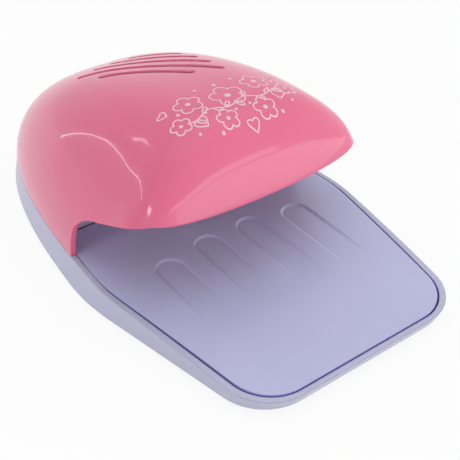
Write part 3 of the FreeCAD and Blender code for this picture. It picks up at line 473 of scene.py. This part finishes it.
# Print on the crown: a loose garland of blossoms, leaves, hearts and dots, in thin raised ink.
motif = {
    "line": 0.42,                 # width of a drawn line
    "ink": 0.05,                  # its height
    "blossoms": ((-11.5, 64.0, 4.2), (0.0, 61.3, 5.2), (11.5, 64.2, 4.2), (-5.8, 53.2, 3.2),
                 (6.6, 52.6, 3.5), (-18.2, 57.6, 3.0), (17.8, 57.8, 3.0)),   # x, station, radius
    "hearts": ((-13.0, 55.2, 2.1, 20.0), (13.6, 55.6, 2.0, -18.0), (0.4, 49.6, 1.8, 0.0),
               (-19.2, 65.4, 1.5, 30.0), (19.6, 65.6, 1.5, -30.0)),   # x, station, size, degrees
    "dots": ((-16.2, 62.0, 0.6), (16.4, 62.4, 0.6), (-10.2, 57.6, 0.5), (12.2, 58.9, 0.5),
             (-1.8, 54.9, 0.45), (3.2, 55.2, 0.5), (-9.6, 50.2, 0.55), (11.0, 50.2, 0.55),
             (-5.6, 69.2, 0.55), (6.8, 69.2, 0.55), (-15.6, 52.4, 0.45), (16.4, 52.6, 0.45),
             (0.6, 68.6, 0.7)),   # x, station, radius
    "vine": (-16.0, 16.0, 57.4),   # from, to, station
    "wave": (0.9, 0.55),          # height of its wave, radians per millimetre
    "leaves": 9,
    "leaf": (1.3, 0.5, 0.7),      # half length, half width, lean in radians
    "leafAt": (1.8, 2.7, 1.1, 1.05),   # clear of the vine's ends, ahead of its place, out to the side
}


def inked(plan, lift):
    # plan points laid on the dome, lifted by the ink's thickness
    return np.column_stack([plan, heightAt(plan[:, 0], plan[:, 1]) + lift])


def inkLine(path, closed=True):
    # flat ribbon of ink along a plan line: two edges on top, two just under the surface
    path = np.asarray(path, float)
    if closed:
        ahead, back = np.roll(path, -1, 0), np.roll(path, 1, 0)
    else:
        ahead, back = np.vstack([path[1:], path[-1:]]), np.vstack([path[:1], path[:-1]])
    along = unit(ahead - back)
    side = np.column_stack([-along[:, 1], along[:, 0]]) * motif["line"] / 2
    edges = [inked(path + side, motif["ink"]), inked(path - side, motif["ink"]),
             inked(path - side, -motif["ink"]), inked(path + side, -motif["ink"])]
    points = np.stack(edges, 1)
    faces = gridFaces(len(path), 4, closeRows=closed, closeCols=True)
    if not closed:
        end = (len(path) - 1) * 4
        faces = np.concatenate([faces, [[3, 2, 1, 0], [end, end + 1, end + 2, end + 3]]])
    return toRow(points.reshape(-1, 3)), faces


def inkDot(x, y, radius):
    # flat disc of ink, its rim 16 points
    rim = circle(radius, 16) + (x, y)
    return cappedRings(np.stack([inked(rim, motif["ink"]), inked(rim, -motif["ink"])]))


def blossom(x, y, size, petals=5):
    # outline whose radius goes from 0.62 of the size between two petals to the whole at each petal's middle
    turn = np.linspace(0, 2 * np.pi, 91)[:-1]
    radius = size * (0.62 + 0.38 * np.abs(np.cos(petals * turn / 2)) ** 0.7)
    return np.column_stack([x + radius * np.sin(turn), y + radius * np.cos(turn)])


def turned(shape, angle):
    # plan points turned about zero: x cos - y sin, x sin + y cos
    c, s = math.cos(angle), math.sin(angle)
    return shape @ np.array([[c, s], [-s, c]])


def heart(x, y, size, degrees):
    # outline of a sine cubed across and a sum of three cosines along
    t = np.linspace(0, 2 * np.pi, 61)[:-1]
    along = 0.81 * np.cos(t) - 0.31 * np.cos(2 * t) - 0.12 * np.cos(3 * t)
    return turned(np.column_stack([np.sin(t) ** 3, along]) * size, math.radians(degrees)) + (x, y)


def leaf(x, y, side):
    # ellipse that is fuller towards its outer end, turned away from the vine
    length, width, lean = motif["leaf"]
    t = np.linspace(0, 2 * np.pi, 25)[:-1]
    shape = np.column_stack([length * np.cos(t), width * np.sin(t) * (1 + 0.3 * np.cos(t))])
    return turned(shape, lean * side) + (np.array([x, y]) + (motif["leafAt"][2], side * motif["leafAt"][3]))


def garland():
    # every outline of the print as a ribbon of ink, with a dot in each blossom
    shells = []
    for x, y, size in motif["blossoms"]:
        shells.append(inkLine(blossom(x, y, size)))
        shells.append(inkDot(x, y, size * 0.2))
    for values in motif["hearts"]:
        shells.append(inkLine(heart(*values)))
    for values in motif["dots"]:
        shells.append(inkDot(*values))
    start, stop, station = motif["vine"]
    height, pace = motif["wave"]
    bend = np.linspace(start, stop, 70)
    shells.append(inkLine(np.column_stack([bend, station + height * np.sin(bend * pace)]), closed=False))
    first, last = motif["leafAt"][:2]
    for n in range(motif["leaves"]):
        x = start + first + (stop - start - first - last) * n / (motif["leaves"] - 1)
        shells.append(inkLine(leaf(x, station + height * math.sin(x * pace), 1 if n % 2 else -1)))
    return shells


garlandPiece = meshPiece("crownPrint", garland())
print("print:", len(garlandPiece.data.polygons), "faces")


# Press plate: gently arched top with four wedge grooves, soft at every edge; underneath two stiffening ribs,
# two hinge knuckles and the pad over the switch.
plate = {
    "front": 0.25,
    "rear": 90.3,
    "stationHeights": (3.9, 7.15, 7.8),   # top at station 0, at the station below and at twice that
    "station": 50.0,
    "thickness": 1.68,
    "half": (34.1, 43.26),        # where the straight sides meet the front edge's line, and where they end
    "straightEnd": 56.0,
    "cornerRadius": 13.35,
    "sideFall": (0.014, 1.6),     # how the sides draw in behind their straight part: factor and power
    "tailInset": 1.9,             # from the dome's seam line to the plate's edge, at the tail
    "tailBlend": 26.0,            # length over which the sides go over into that
    "edgeRound": 0.35,
    "groovePitch": 16.0,
    "grooveWidth": 9.3,
    "grooveTips": (61.9, 64.7, 64.7, 61.9),
    "grooveFront": 29.0,
    "grooveDepth": 0.6,
    "shoulder": 0.5,
    "shoulderShift": 0.35,        # share of the shoulder that lies outside the groove's outline
    "step": 0.32,                 # of the grid across the grooves
    "margin": 1.2,                # of that grid beside the outer grooves
    "core": 0.86,                 # most of the half width that it may take
    "fine": (54.0, 66.0, 0.9, 0.3),   # stations of the grooves' tips, step before them, step there
    "rib": (15.0, 1.2, 18.0, 80.0, 1.2),    # distance from the middle, width, front, rear, height
    "knuckle": (31.0, 6.0, 86.0, 3.9, 1.9, 1.05),   # distance, width, station, height, radius, bore's radius
    "pad": (56.0, 2.2, 5.55),     # station, radius, height of its foot
    "overlap": 0.3,               # of a rib with the slab; also the pad's chamfer
}
tailLine = seamLine[600:][::-1]   # right half of the seam's line: x and station, from the foot to the rear


def plateTop(y):
    # parabola through the three heights
    a, b, c = plate["stationHeights"]
    bend = (c - 2 * b + a) / 2
    share = y / plate["station"]
    return a + (b - a - bend) * share + bend * share ** 2


def plateHalf(y):
    # half the plate's width: a round front corner, a straight side, then a smooth change from that side's
    # line, drawn in by a power of the way behind it, to a set distance inside the dome's seam line
    (front, rear), radius = plate["half"], plate["cornerRadius"]
    end = plate["straightEnd"]
    slope = (rear - front) / (end - plate["front"])
    side = math.atan(slope)
    centre = front + slope * radius - radius / math.cos(side)
    rise = np.clip(radius - (y - plate["front"]), 0, radius)
    straight = front + slope * (y - plate["front"])
    corner = centre + np.sqrt(np.maximum(radius ** 2 - rise ** 2, 0))
    tail = np.interp(y, tailLine[:, 1], tailLine[:, 0]) - plate["tailInset"]
    blend = np.clip((y - end) / plate["tailBlend"], 0, 1)
    blend = blend ** 2 * (3 - 2 * blend)
    factor, power = plate["sideFall"]
    beyond = rear + slope * (y - end) - factor * np.maximum(y - end, 0) ** power
    return np.where(y < plate["front"] + radius * (1 - math.sin(side)), corner,
                    np.where(y < end, straight, beyond * (1 - blend) + tail * blend))


def grooveDepthAt(x, y):
    # depth under the plate's top: a sloping flat floor inside a round-ended outline, soft at the shoulder
    depth = np.zeros(np.broadcast(x, y).shape)
    half, soft = plate["grooveWidth"] / 2, plate["shoulder"]
    for number, tip in enumerate(plate["grooveTips"]):
        middle = (number - 1.5) * plate["groovePitch"]
        inside = half - np.hypot(x - middle, np.maximum(y - (tip - half), 0))
        start = plate["grooveFront"]
        share = np.clip((y - start) / (tip - start), 0, None)
        floor = plateTop(start) + (plateTop(tip) - plate["grooveDepth"] - plateTop(start)) * share
        t = np.clip(inside / soft + plate["shoulderShift"], 0, 1)
        depth += np.where(y > start, np.maximum(plateTop(y) - floor, 0), 0) * t * t * (3 - 2 * t)
    return depth


def plateSlab():
    # rows from front to rear; each row runs over the top from left to right and back underneath, with an
    # even grid over the grooves and a few points beside it
    core = plate["groovePitch"] * 1.5 + plate["grooveWidth"] / 2 + plate["margin"]
    middle = np.linspace(-1, 1, int(2 * core / plate["step"]) | 1)
    edge = np.linspace(0, 1, 16)[1:]
    turn = np.linspace(0, np.pi / 2, 14)[:-1]
    corner = plate["front"] + plate["cornerRadius"] * (1 - np.cos(turn))
    fineFrom, fineTo, coarse, fine = plate["fine"]
    stations = np.concatenate([corner, np.arange(corner[-1] + coarse, fineFrom, coarse),
                               np.arange(fineFrom, fineTo, fine), np.linspace(fineTo, plate["rear"], 25)])
    half = plateHalf(stations)
    inner = np.minimum(core, half * plate["core"])
    right = inner[:, None] + (half - inner)[:, None] * edge[None, :]
    across = np.concatenate([-right[:, ::-1], inner[:, None] * middle[None, :], right], axis=1)
    along = np.broadcast_to(stations[:, None], across.shape)
    top = np.stack([across, along, plateTop(along) - grooveDepthAt(across, along)], -1)
    under = np.stack([across, along, plateTop(along) - plate["thickness"]], -1)[:, ::-1]
    return cappedRings(np.concatenate([top, under], axis=1))


def rib(side):
    # rectangle carried along under the slab
    middle, width, front, rear, height = plate["rib"]
    y = np.linspace(front, rear, 40)
    low, high = (plateTop(y) - plate["thickness"] + rise for rise in (-height, plate["overlap"]))
    left, right = side * middle - width / 2, side * middle + width / 2
    corners = ((left, low), (right, low), (right, high), (left, high))
    return cappedRings(np.stack([np.column_stack([0 * y + x, y, z]) for x, z in corners], 1))


def knuckle(side):
    # tube round the hinge pin
    middle, width, station, height, radius, bore = plate["knuckle"]
    left, right = side * middle - width / 2, side * middle + width / 2
    profile = ((left, radius), (right, radius), (right, bore), (left, bore))
    rings = np.stack([np.insert(circle(size) + (station, height), 0, x, axis=1) for x, size in profile])
    return toRow(rings.reshape(-1, 3)), gridFaces(*rings.shape[:2], closeRows=True, closeCols=True)


def knuckleWeb(side):
    # block from just over the pin to the middle of the slab
    middle, width, station, height, radius, bore = plate["knuckle"]
    left, right = side * middle - width / 2, side * middle + width / 2
    near, far = station - radius * 0.8, station + radius * 0.8
    ring = np.array([(left, near), (right, near), (right, far), (left, far)])
    levels = (height + bore + 0.15, plateTop(station) - plate["thickness"] / 2)
    return cappedRings(np.stack([np.insert(ring, 2, level, axis=1) for level in levels]))


def pad():
    # disc from the switch's cap to the middle of the slab, chamfered at its foot
    station, radius, foot = plate["pad"]
    chamfer, root = plate["overlap"], plateTop(station) - plate["thickness"] / 2
    levels = ((foot, radius - chamfer), (foot + chamfer, radius), (root, radius))
    return cappedRings(np.stack([np.insert(circle(radius) * size / radius + (0, station), 2, level, axis=1)
                                 for level, size in levels]))


slabPiece = meshPiece("plateSlab", [plateSlab()])
soften = slabPiece.modifiers.new("edges", "BEVEL")
soften.width = plate["edgeRound"] * 0.001
soften.segments = 3
soften.limit_method = "ANGLE"
soften.angle_limit = math.radians(50)
finished(slabPiece)
underShells = [make(side) for make in (rib, knuckle, knuckleWeb) for side in (-1, 1)] + [pad()]
underPiece = meshPiece("plateUnderside", underShells, smooth=False)
print("plate:", len(slabPiece.data.polygons), "faces")
print("underside:", len(underPiece.data.polygons), "faces")


# Return springs of the plate: coils with closed ends, drawn at rest.
springs = {
    "middle": 26.0,               # distance from the plate's middle
    "station": 40.0,
    "coilRadius": 2.4,
    "wireRadius": 0.25,
    "turns": 3.5,
    "closedTurns": 0.7,
    "closedPitch": 2.1,           # rise of the closed turns at each end, in wire radii
    "hingeStation": 86.0,
    "travel": 0.466,              # degrees of the plate's hinge
}


def coil(side, low, high):
    # round wire along a helix: the turn goes evenly, and the rise mostly between the closed ends, which climb
    # by about the wire's thickness each, so that no turn runs into the next
    turn = np.linspace(0, 2 * np.pi * springs["turns"], 170)
    closed = 2 * np.pi * springs["closedTurns"]
    share = np.clip((turn - closed) / (turn[-1] - 2 * closed), 0, 1)
    wire = springs["wireRadius"]
    pitch = springs["closedPitch"] * wire
    climb = np.minimum(turn, closed) / closed + np.maximum(turn - turn[-1] + closed, 0) / closed
    room = high - low - 2 * wire
    rise = low + wire + pitch * climb + (room - 2 * pitch) * share
    outwards = np.column_stack([np.cos(turn), np.sin(turn), 0 * turn])
    path = outwards * springs["coilRadius"] + (side * springs["middle"], springs["station"], 0)
    path[:, 2] = rise
    along = unit(np.gradient(path, axis=0))
    upwards = np.cross(along, outwards)
    section = circle(wire, 12)
    rings = path[:, None] + outwards[:, None] * section[None, :, :1] + upwards[:, None] * section[None, :, 1:]
    return cappedRings(rings)


springBox = [corner[2] * 1000 - place["footHeight"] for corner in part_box("plate_springs")]
springPiece = meshPiece("plateSprings", [coil(side, *springBox) for side in (-1, 1)])
print("springs:", len(springPiece.data.polygons), "faces")


# Camera: from above the left front corner.
camera = {
    "lens": 71.27,
    "sensor": 36.0,
    "turn": -36.82,               # degrees round the object, up and about the view
    "height": 35.88,
    "roll": -0.34,
    "distance": 260.96,
    "target": (-9.05, 48.29, 20.0),   # x, station and height
    "clip": (0.01, 20.0),         # metres
}
turn, tip, roll = (math.radians(camera[k]) for k in ("turn", "height", "roll"))
back = Vector((math.sin(turn) * math.cos(tip), -math.cos(turn) * math.cos(tip), math.sin(tip)))
right = Vector((math.cos(turn), math.sin(turn), 0))
up = back.cross(right)
right, up = right * math.cos(roll) + up * math.sin(roll), up * math.cos(roll) - right * math.sin(roll)
cameraData = bpy.data.cameras.new("camera")
cameraData.lens = camera["lens"]
cameraData.sensor_width = camera["sensor"]
cameraData.clip_start, cameraData.clip_end = camera["clip"]
cameraObject = bpy.data.objects.new("camera", cameraData)
bpy.context.scene.collection.objects.link(cameraObject)
spot = Vector(toRow(camera["target"])) + back * camera["distance"] * 0.001
cameraObject.matrix_world = Matrix.Translation(spot) @ Matrix((right, up, back)).transposed().to_4x4()
bpy.context.scene.camera = cameraObject
print("camera set")


# Finishes: lengths in metres, colours as written from 0 to 255.
moulding = {
    "mottleScale": 38.0,          # waves per metre
    "mottleRange": (0.3, 0.7),    # of the noise, between the darker and the lighter tone
    # painted shade in narrow gaps: how far to look for them, and the openness over which it comes in
    "gapShadeReach": 0.0012,
    "gapShadeRange": (0.15, 0.55),   # openness at which the deeper colour is full, and gone
    "reliefDepth": 0.0004,
    "glowDepth": 0.0015,
    "coatRoughness": 0.04,
}


def linear(colour):
    # written colour to the shader's linear values: ((c + 0.055) / 1.055)^2.4, or c / 12.92 where it is dark
    value = np.array(colour, float) / 255
    return tuple(np.where(value <= 0.04045, value / 12.92, ((value + 0.055) / 1.055) ** 2.4)) + (1.0,)


def plastic(name, colour, roughness=0.35, depth=0.04, mottle=0.03, grain=900.0, bump=0.02, coat=0.0, edge=0.0,
            gleam=0.5, glow=0.0, spread=(1.0, 0.3, 0.4), paintedGapShade=None):
    # moulded plastic: slow mottle in the colour, gloss that varies a little, fine skin in the bump; the gap
    # colour is painted shade, a deeper colour mixed in where ambient occlusion finds a narrow gap
    material = bpy.data.materials.new(name)
    material.use_nodes = True
    nodes, links = material.node_tree.nodes, material.node_tree.links
    shader = nodes["Principled BSDF"]
    where = nodes.new("ShaderNodeTexCoord").outputs["Object"]
    slow = nodes.new("ShaderNodeTexNoise")
    slow.inputs["Scale"].default_value = moulding["mottleScale"]
    slow.inputs["Detail"].default_value = 4.0
    links.new(where, slow.inputs["Vector"])
    tone = nodes.new("ShaderNodeValToRGB")
    light = np.array(linear(colour))
    tones = zip(tone.color_ramp.elements, moulding["mottleRange"], (1 - mottle, 1 + mottle))
    for element, position, factor in tones:
        element.position = position
        element.color = tuple(np.minimum(light[:3] * factor, 1)) + (1.0,)
    links.new(slow.outputs["Fac"], tone.inputs["Fac"])
    links.new(tone.outputs["Color"], shader.inputs["Base Color"])
    if paintedGapShade:
        # painted shade: where ambient occlusion finds a narrow gap the colour goes over to a deeper one,
        # standing in for light that has gone to and fro there
        narrow = nodes.new("ShaderNodeAmbientOcclusion")
        narrow.samples = 8
        narrow.inputs["Distance"].default_value = moulding["gapShadeReach"]
        wide = nodes.new("ShaderNodeMapRange")
        wide.inputs["From Min"].default_value = moulding["gapShadeRange"][0]
        wide.inputs["From Max"].default_value = moulding["gapShadeRange"][1]
        links.new(narrow.outputs["AO"], wide.inputs["Value"])
        gapShadeMix = nodes.new("ShaderNodeMix")   # of colours: share in socket 0, colours in 6 and 7, out at 2
        gapShadeMix.data_type = "RGBA"
        gapShadeMix.inputs[6].default_value = linear(paintedGapShade)
        links.new(wide.outputs["Result"], gapShadeMix.inputs[0])
        links.new(tone.outputs["Color"], gapShadeMix.inputs[7])
        links.new(gapShadeMix.outputs[2], shader.inputs["Base Color"])
    gloss = nodes.new("ShaderNodeMapRange")
    gloss.inputs["To Min"].default_value = roughness - depth
    gloss.inputs["To Max"].default_value = roughness + depth
    links.new(slow.outputs["Fac"], gloss.inputs["Value"])
    links.new(gloss.outputs["Result"], shader.inputs["Roughness"])
    skin = nodes.new("ShaderNodeTexNoise")
    skin.inputs["Scale"].default_value = grain
    skin.inputs["Detail"].default_value = 2.0
    links.new(where, skin.inputs["Vector"])
    relief = nodes.new("ShaderNodeBump")
    relief.inputs["Strength"].default_value = bump
    relief.inputs["Distance"].default_value = moulding["reliefDepth"]
    links.new(skin.outputs["Fac"], relief.inputs["Height"])
    if edge:
        soft = nodes.new("ShaderNodeBevel")
        soft.samples = 6
        soft.inputs["Radius"].default_value = edge
        links.new(soft.outputs["Normal"], relief.inputs["Normal"])
    links.new(relief.outputs["Normal"], shader.inputs["Normal"])
    shader.inputs["Specular IOR Level"].default_value = gleam
    shader.inputs["Subsurface Weight"].default_value = glow
    shader.inputs["Subsurface Radius"].default_value = spread
    shader.inputs["Subsurface Scale"].default_value = moulding["glowDepth"]
    shader.inputs["Coat Weight"].default_value = coat
    shader.inputs["Coat Roughness"].default_value = moulding["coatRoughness"]
    return material


def metal(name, colour, roughness):
    # the same nodes with more grain, as metal
    material = plastic(name, colour, roughness, depth=0.06, mottle=0.05, grain=2500.0, bump=0.04)
    material.node_tree.nodes["Principled BSDF"].inputs["Metallic"].default_value = 1.0
    return material


cell = {
    "dark": (60, 64, 72),
    "pale": (196, 200, 206),
    "paleFrom": 0.0125,           # distance of the pale end from the middle
}


def sleeve(name, side):
    # dark cell sleeve whose end on one side (1 right, -1 left) is pale
    material = plastic(name, cell["dark"], roughness=0.25)
    nodes, links = material.node_tree.nodes, material.node_tree.links
    parts = nodes.new("ShaderNodeSeparateXYZ")
    links.new(nodes["Texture Coordinate"].outputs["Object"], parts.inputs["Vector"])
    ahead = nodes.new("ShaderNodeMath")
    ahead.operation = "MULTIPLY"
    ahead.inputs[1].default_value = side
    links.new(parts.outputs["X"], ahead.inputs[0])
    band = nodes.new("ShaderNodeMath")
    band.operation = "GREATER_THAN"
    band.inputs[1].default_value = cell["paleFrom"]
    links.new(ahead.outputs["Value"], band.inputs[0])
    either = nodes.new("ShaderNodeMix")
    either.data_type = "RGBA"
    links.new(band.outputs["Value"], either.inputs[0])
    links.new(nodes["Color Ramp"].outputs["Color"], either.inputs[6])
    either.inputs[7].default_value = linear(cell["pale"])
    links.new(either.outputs[2], nodes["Principled BSDF"].inputs["Base Color"])
    return material


finishes = {
    # the last colour given to the pink and to the two lilacs is painted shade in narrow gaps
    "hood_pink": plastic("hoodPink", (221, 106, 139), roughness=0.24, depth=0.02, mottle=0.015, bump=0.006,
                         coat=0.42, gleam=0.2, glow=0.1, paintedGapShade=(212, 44, 100)),
    "base_lilac": plastic("baseLilac", (182, 182, 208), roughness=0.36, coat=0.2, edge=0.0008, glow=0.15,
                          spread=(0.3, 0.3, 1.0), paintedGapShade=(74, 58, 212)),
    "plate_lilac": plastic("plateLilac", (184, 186, 221), roughness=0.3, coat=0.2, gleam=0.3, glow=0.1,
                           spread=(0.3, 0.3, 1.0), paintedGapShade=(74, 58, 212)),
    "fan_white": plastic("fanWhite", (226, 226, 224), roughness=0.4),
    "steel": metal("zincSteel", (186, 188, 192), 0.32),
    "motor_steel": metal("drawnSteel", (176, 178, 182), 0.28),
    "black_plastic": plastic("blackMoulding", (34, 34, 37), roughness=0.45),
    "switch_cap": plastic("switchCap", (150, 46, 40), roughness=0.4),
    "brass": metal("brassTab", (206, 172, 104), 0.3),
    "contact_metal": metal("nickelSheet", (196, 196, 192), 0.3),
    "cell_sleeve": sleeve("frontSleeve", 1),
    "foot_rubber": plastic("footRubber", (176, 176, 180), roughness=0.75, bump=0.08),
    "red_wire": plastic("redWire", (176, 34, 34), roughness=0.4),
    "black_wire": plastic("blackWire", (30, 30, 32), roughness=0.4),
    "ink": plastic("paleInk", (240, 194, 208), roughness=0.3, mottle=0.02),
}
slotOf = {entry["node"]: entry["material_slot"] for entry in frame["record"]["subparts"]}
for nodeName, node in frame["nodes"].items():
    node.data.materials.clear()
    node.data.materials.append(finishes[slotOf[nodeName]])
# the rear cell lies the other way round, so its pale end is on the left
frame["nodes"]["battery_rear_cell"].data.materials[0] = sleeve("rearSleeve", -1)
dressed = ((hoodPiece, "hood_pink"), (fittingPiece, "hood_pink"), (garlandPiece, "ink"),
           (slabPiece, "plate_lilac"), (underPiece, "plate_lilac"), (springPiece, "steel"))
for piece, finish in dressed:
    piece.data.materials.clear()
    piece.data.materials.append(finishes[finish])
print("finishes:", len(finishes))


# What each piece moves with, and which node it stands for
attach(hoodPiece, "base")
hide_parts("upper_hood")
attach(garlandPiece, "base")
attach(fittingPiece, "base")
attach(slabPiece, "plate")
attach(underPiece, "plate")
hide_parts("finger_plate")
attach(springPiece, "base")
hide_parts("plate_springs")
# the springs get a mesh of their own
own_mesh(springPiece)
print("pieces placed on their bodies")


# Studio: pale floor, white surroundings, soft boxes.
studio = {
    "floorSize": 6.0,
    "floorColour": 0.9,
    "floorShare": 0.88,           # share of plain white in what the camera and gloss see of the floor
    "world": (0.42, 1.14),        # strength on the left and on the right
    "boxes": (   # name, place, aim, size, roll in degrees, watts
        ("overhead", (0.1, 0.05, 0.9), (0, 0, 0), (0.9, 0.9), 0, 1.2),
        ("lowFront", (0.2, -0.9, 0.1), (0, 0, 0), (0.7, 0.16), 0, 0.9),
        ("floorCard", (0.24, -0.37, 0.002), (0.24, -0.37, 1), (0.5, 0.5), 0, 1.5),
        ("window", (-0.66, -0.08, 0.3), (0, 0, 0), (0.22, 0.1), 0, 0.9),
        ("strip", (-0.45, 0.53, 0.145), (0, 0, 0.03), (0.2, 0.01), 0, 0.07),
        ("backStrip", (-0.35, 0.62, 0.105), (0, 0, 0.03), (0.2, 0.01), 50, 0.05),
        ("farBox", (-0.29, 0.52, 0.41), (0, 0, 0), (0.03, 0.1), 0, 0.06),
    ),
}
world = bpy.data.worlds.new("studio")
world.use_nodes = True
bpy.context.scene.world = world
nodes, links = world.node_tree.nodes, world.node_tree.links
sky = nodes["Background"]
sky.inputs["Color"].default_value = (1, 1, 1, 1)
where = nodes.new("ShaderNodeTexCoord")
parts = nodes.new("ShaderNodeSeparateXYZ")
links.new(where.outputs["Generated"], parts.inputs["Vector"])
strength = nodes.new("ShaderNodeMapRange")   # dimmer from the left, brighter from the right
strength.inputs["From Min"].default_value = -1.0
strength.inputs["To Min"].default_value = studio["world"][0]
strength.inputs["To Max"].default_value = studio["world"][1]
links.new(parts.outputs["X"], strength.inputs["Value"])
links.new(strength.outputs["Result"], sky.inputs["Strength"])
seen = nodes.new("ShaderNodeBackground")
seen.inputs["Color"].default_value = (1, 1, 1, 1)
seen.inputs["Strength"].default_value = 1.0
rays = nodes.new("ShaderNodeLightPath")
either = nodes.new("ShaderNodeMixShader")
links.new(rays.outputs["Is Camera Ray"], either.inputs["Fac"])
links.new(sky.outputs["Background"], either.inputs[1])
links.new(seen.outputs["Background"], either.inputs[2])
links.new(either.outputs["Shader"], nodes["World Output"].inputs["Surface"])

half = studio["floorSize"] / 2
floorMesh = bpy.data.meshes.new("floor")
floorMesh.from_pydata([(-half, -half, 0), (half, -half, 0), (half, half, 0), (-half, half, 0)], [],
                      [(0, 1, 2, 3)])
floor = bpy.data.objects.new("floor", floorMesh)
bpy.context.scene.collection.objects.link(floor)
floorMaterial = bpy.data.materials.new("floor")
floorMaterial.use_nodes = True
nodes, links = floorMaterial.node_tree.nodes, floorMaterial.node_tree.links
nodes["Principled BSDF"].inputs["Base Color"].default_value = (studio["floorColour"],) * 3 + (1,)
nodes["Principled BSDF"].inputs["Roughness"].default_value = 0.9
glow = nodes.new("ShaderNodeEmission")
glow.inputs["Strength"].default_value = 1.0
rays = nodes.new("ShaderNodeLightPath")
mirrored = nodes.new("ShaderNodeMath")
mirrored.operation = "MAXIMUM"
links.new(rays.outputs["Is Camera Ray"], mirrored.inputs[0])
links.new(rays.outputs["Is Glossy Ray"], mirrored.inputs[1])
share = nodes.new("ShaderNodeMath")
share.operation = "MULTIPLY"
share.inputs[1].default_value = studio["floorShare"]
links.new(mirrored.outputs["Value"], share.inputs[0])
either = nodes.new("ShaderNodeMixShader")
links.new(share.outputs["Value"], either.inputs["Fac"])
links.new(nodes["Principled BSDF"].outputs["BSDF"], either.inputs[1])
links.new(glow.outputs["Emission"], either.inputs[2])
links.new(either.outputs["Shader"], nodes["Material Output"].inputs["Surface"])
floorMesh.materials.append(floorMaterial)

for name, spot, aim, size, roll, watts in studio["boxes"]:
    lamp = bpy.data.lights.new(name, "AREA")
    lamp.shape = "RECTANGLE"
    lamp.size, lamp.size_y = size
    lamp.energy = watts
    lampObject = bpy.data.objects.new(name, lamp)
    facing = (Vector(aim) - Vector(spot)).to_track_quat("-Z", "Y").to_matrix().to_4x4()
    lampObject.matrix_world = Matrix.Translation(spot) @ facing @ Matrix.Rotation(math.radians(roll), 4, "Z")
    lampObject.visible_camera = False
    bpy.context.scene.collection.objects.link(lampObject)

bpy.context.scene.view_settings.view_transform = "Standard"
print("studio ready")
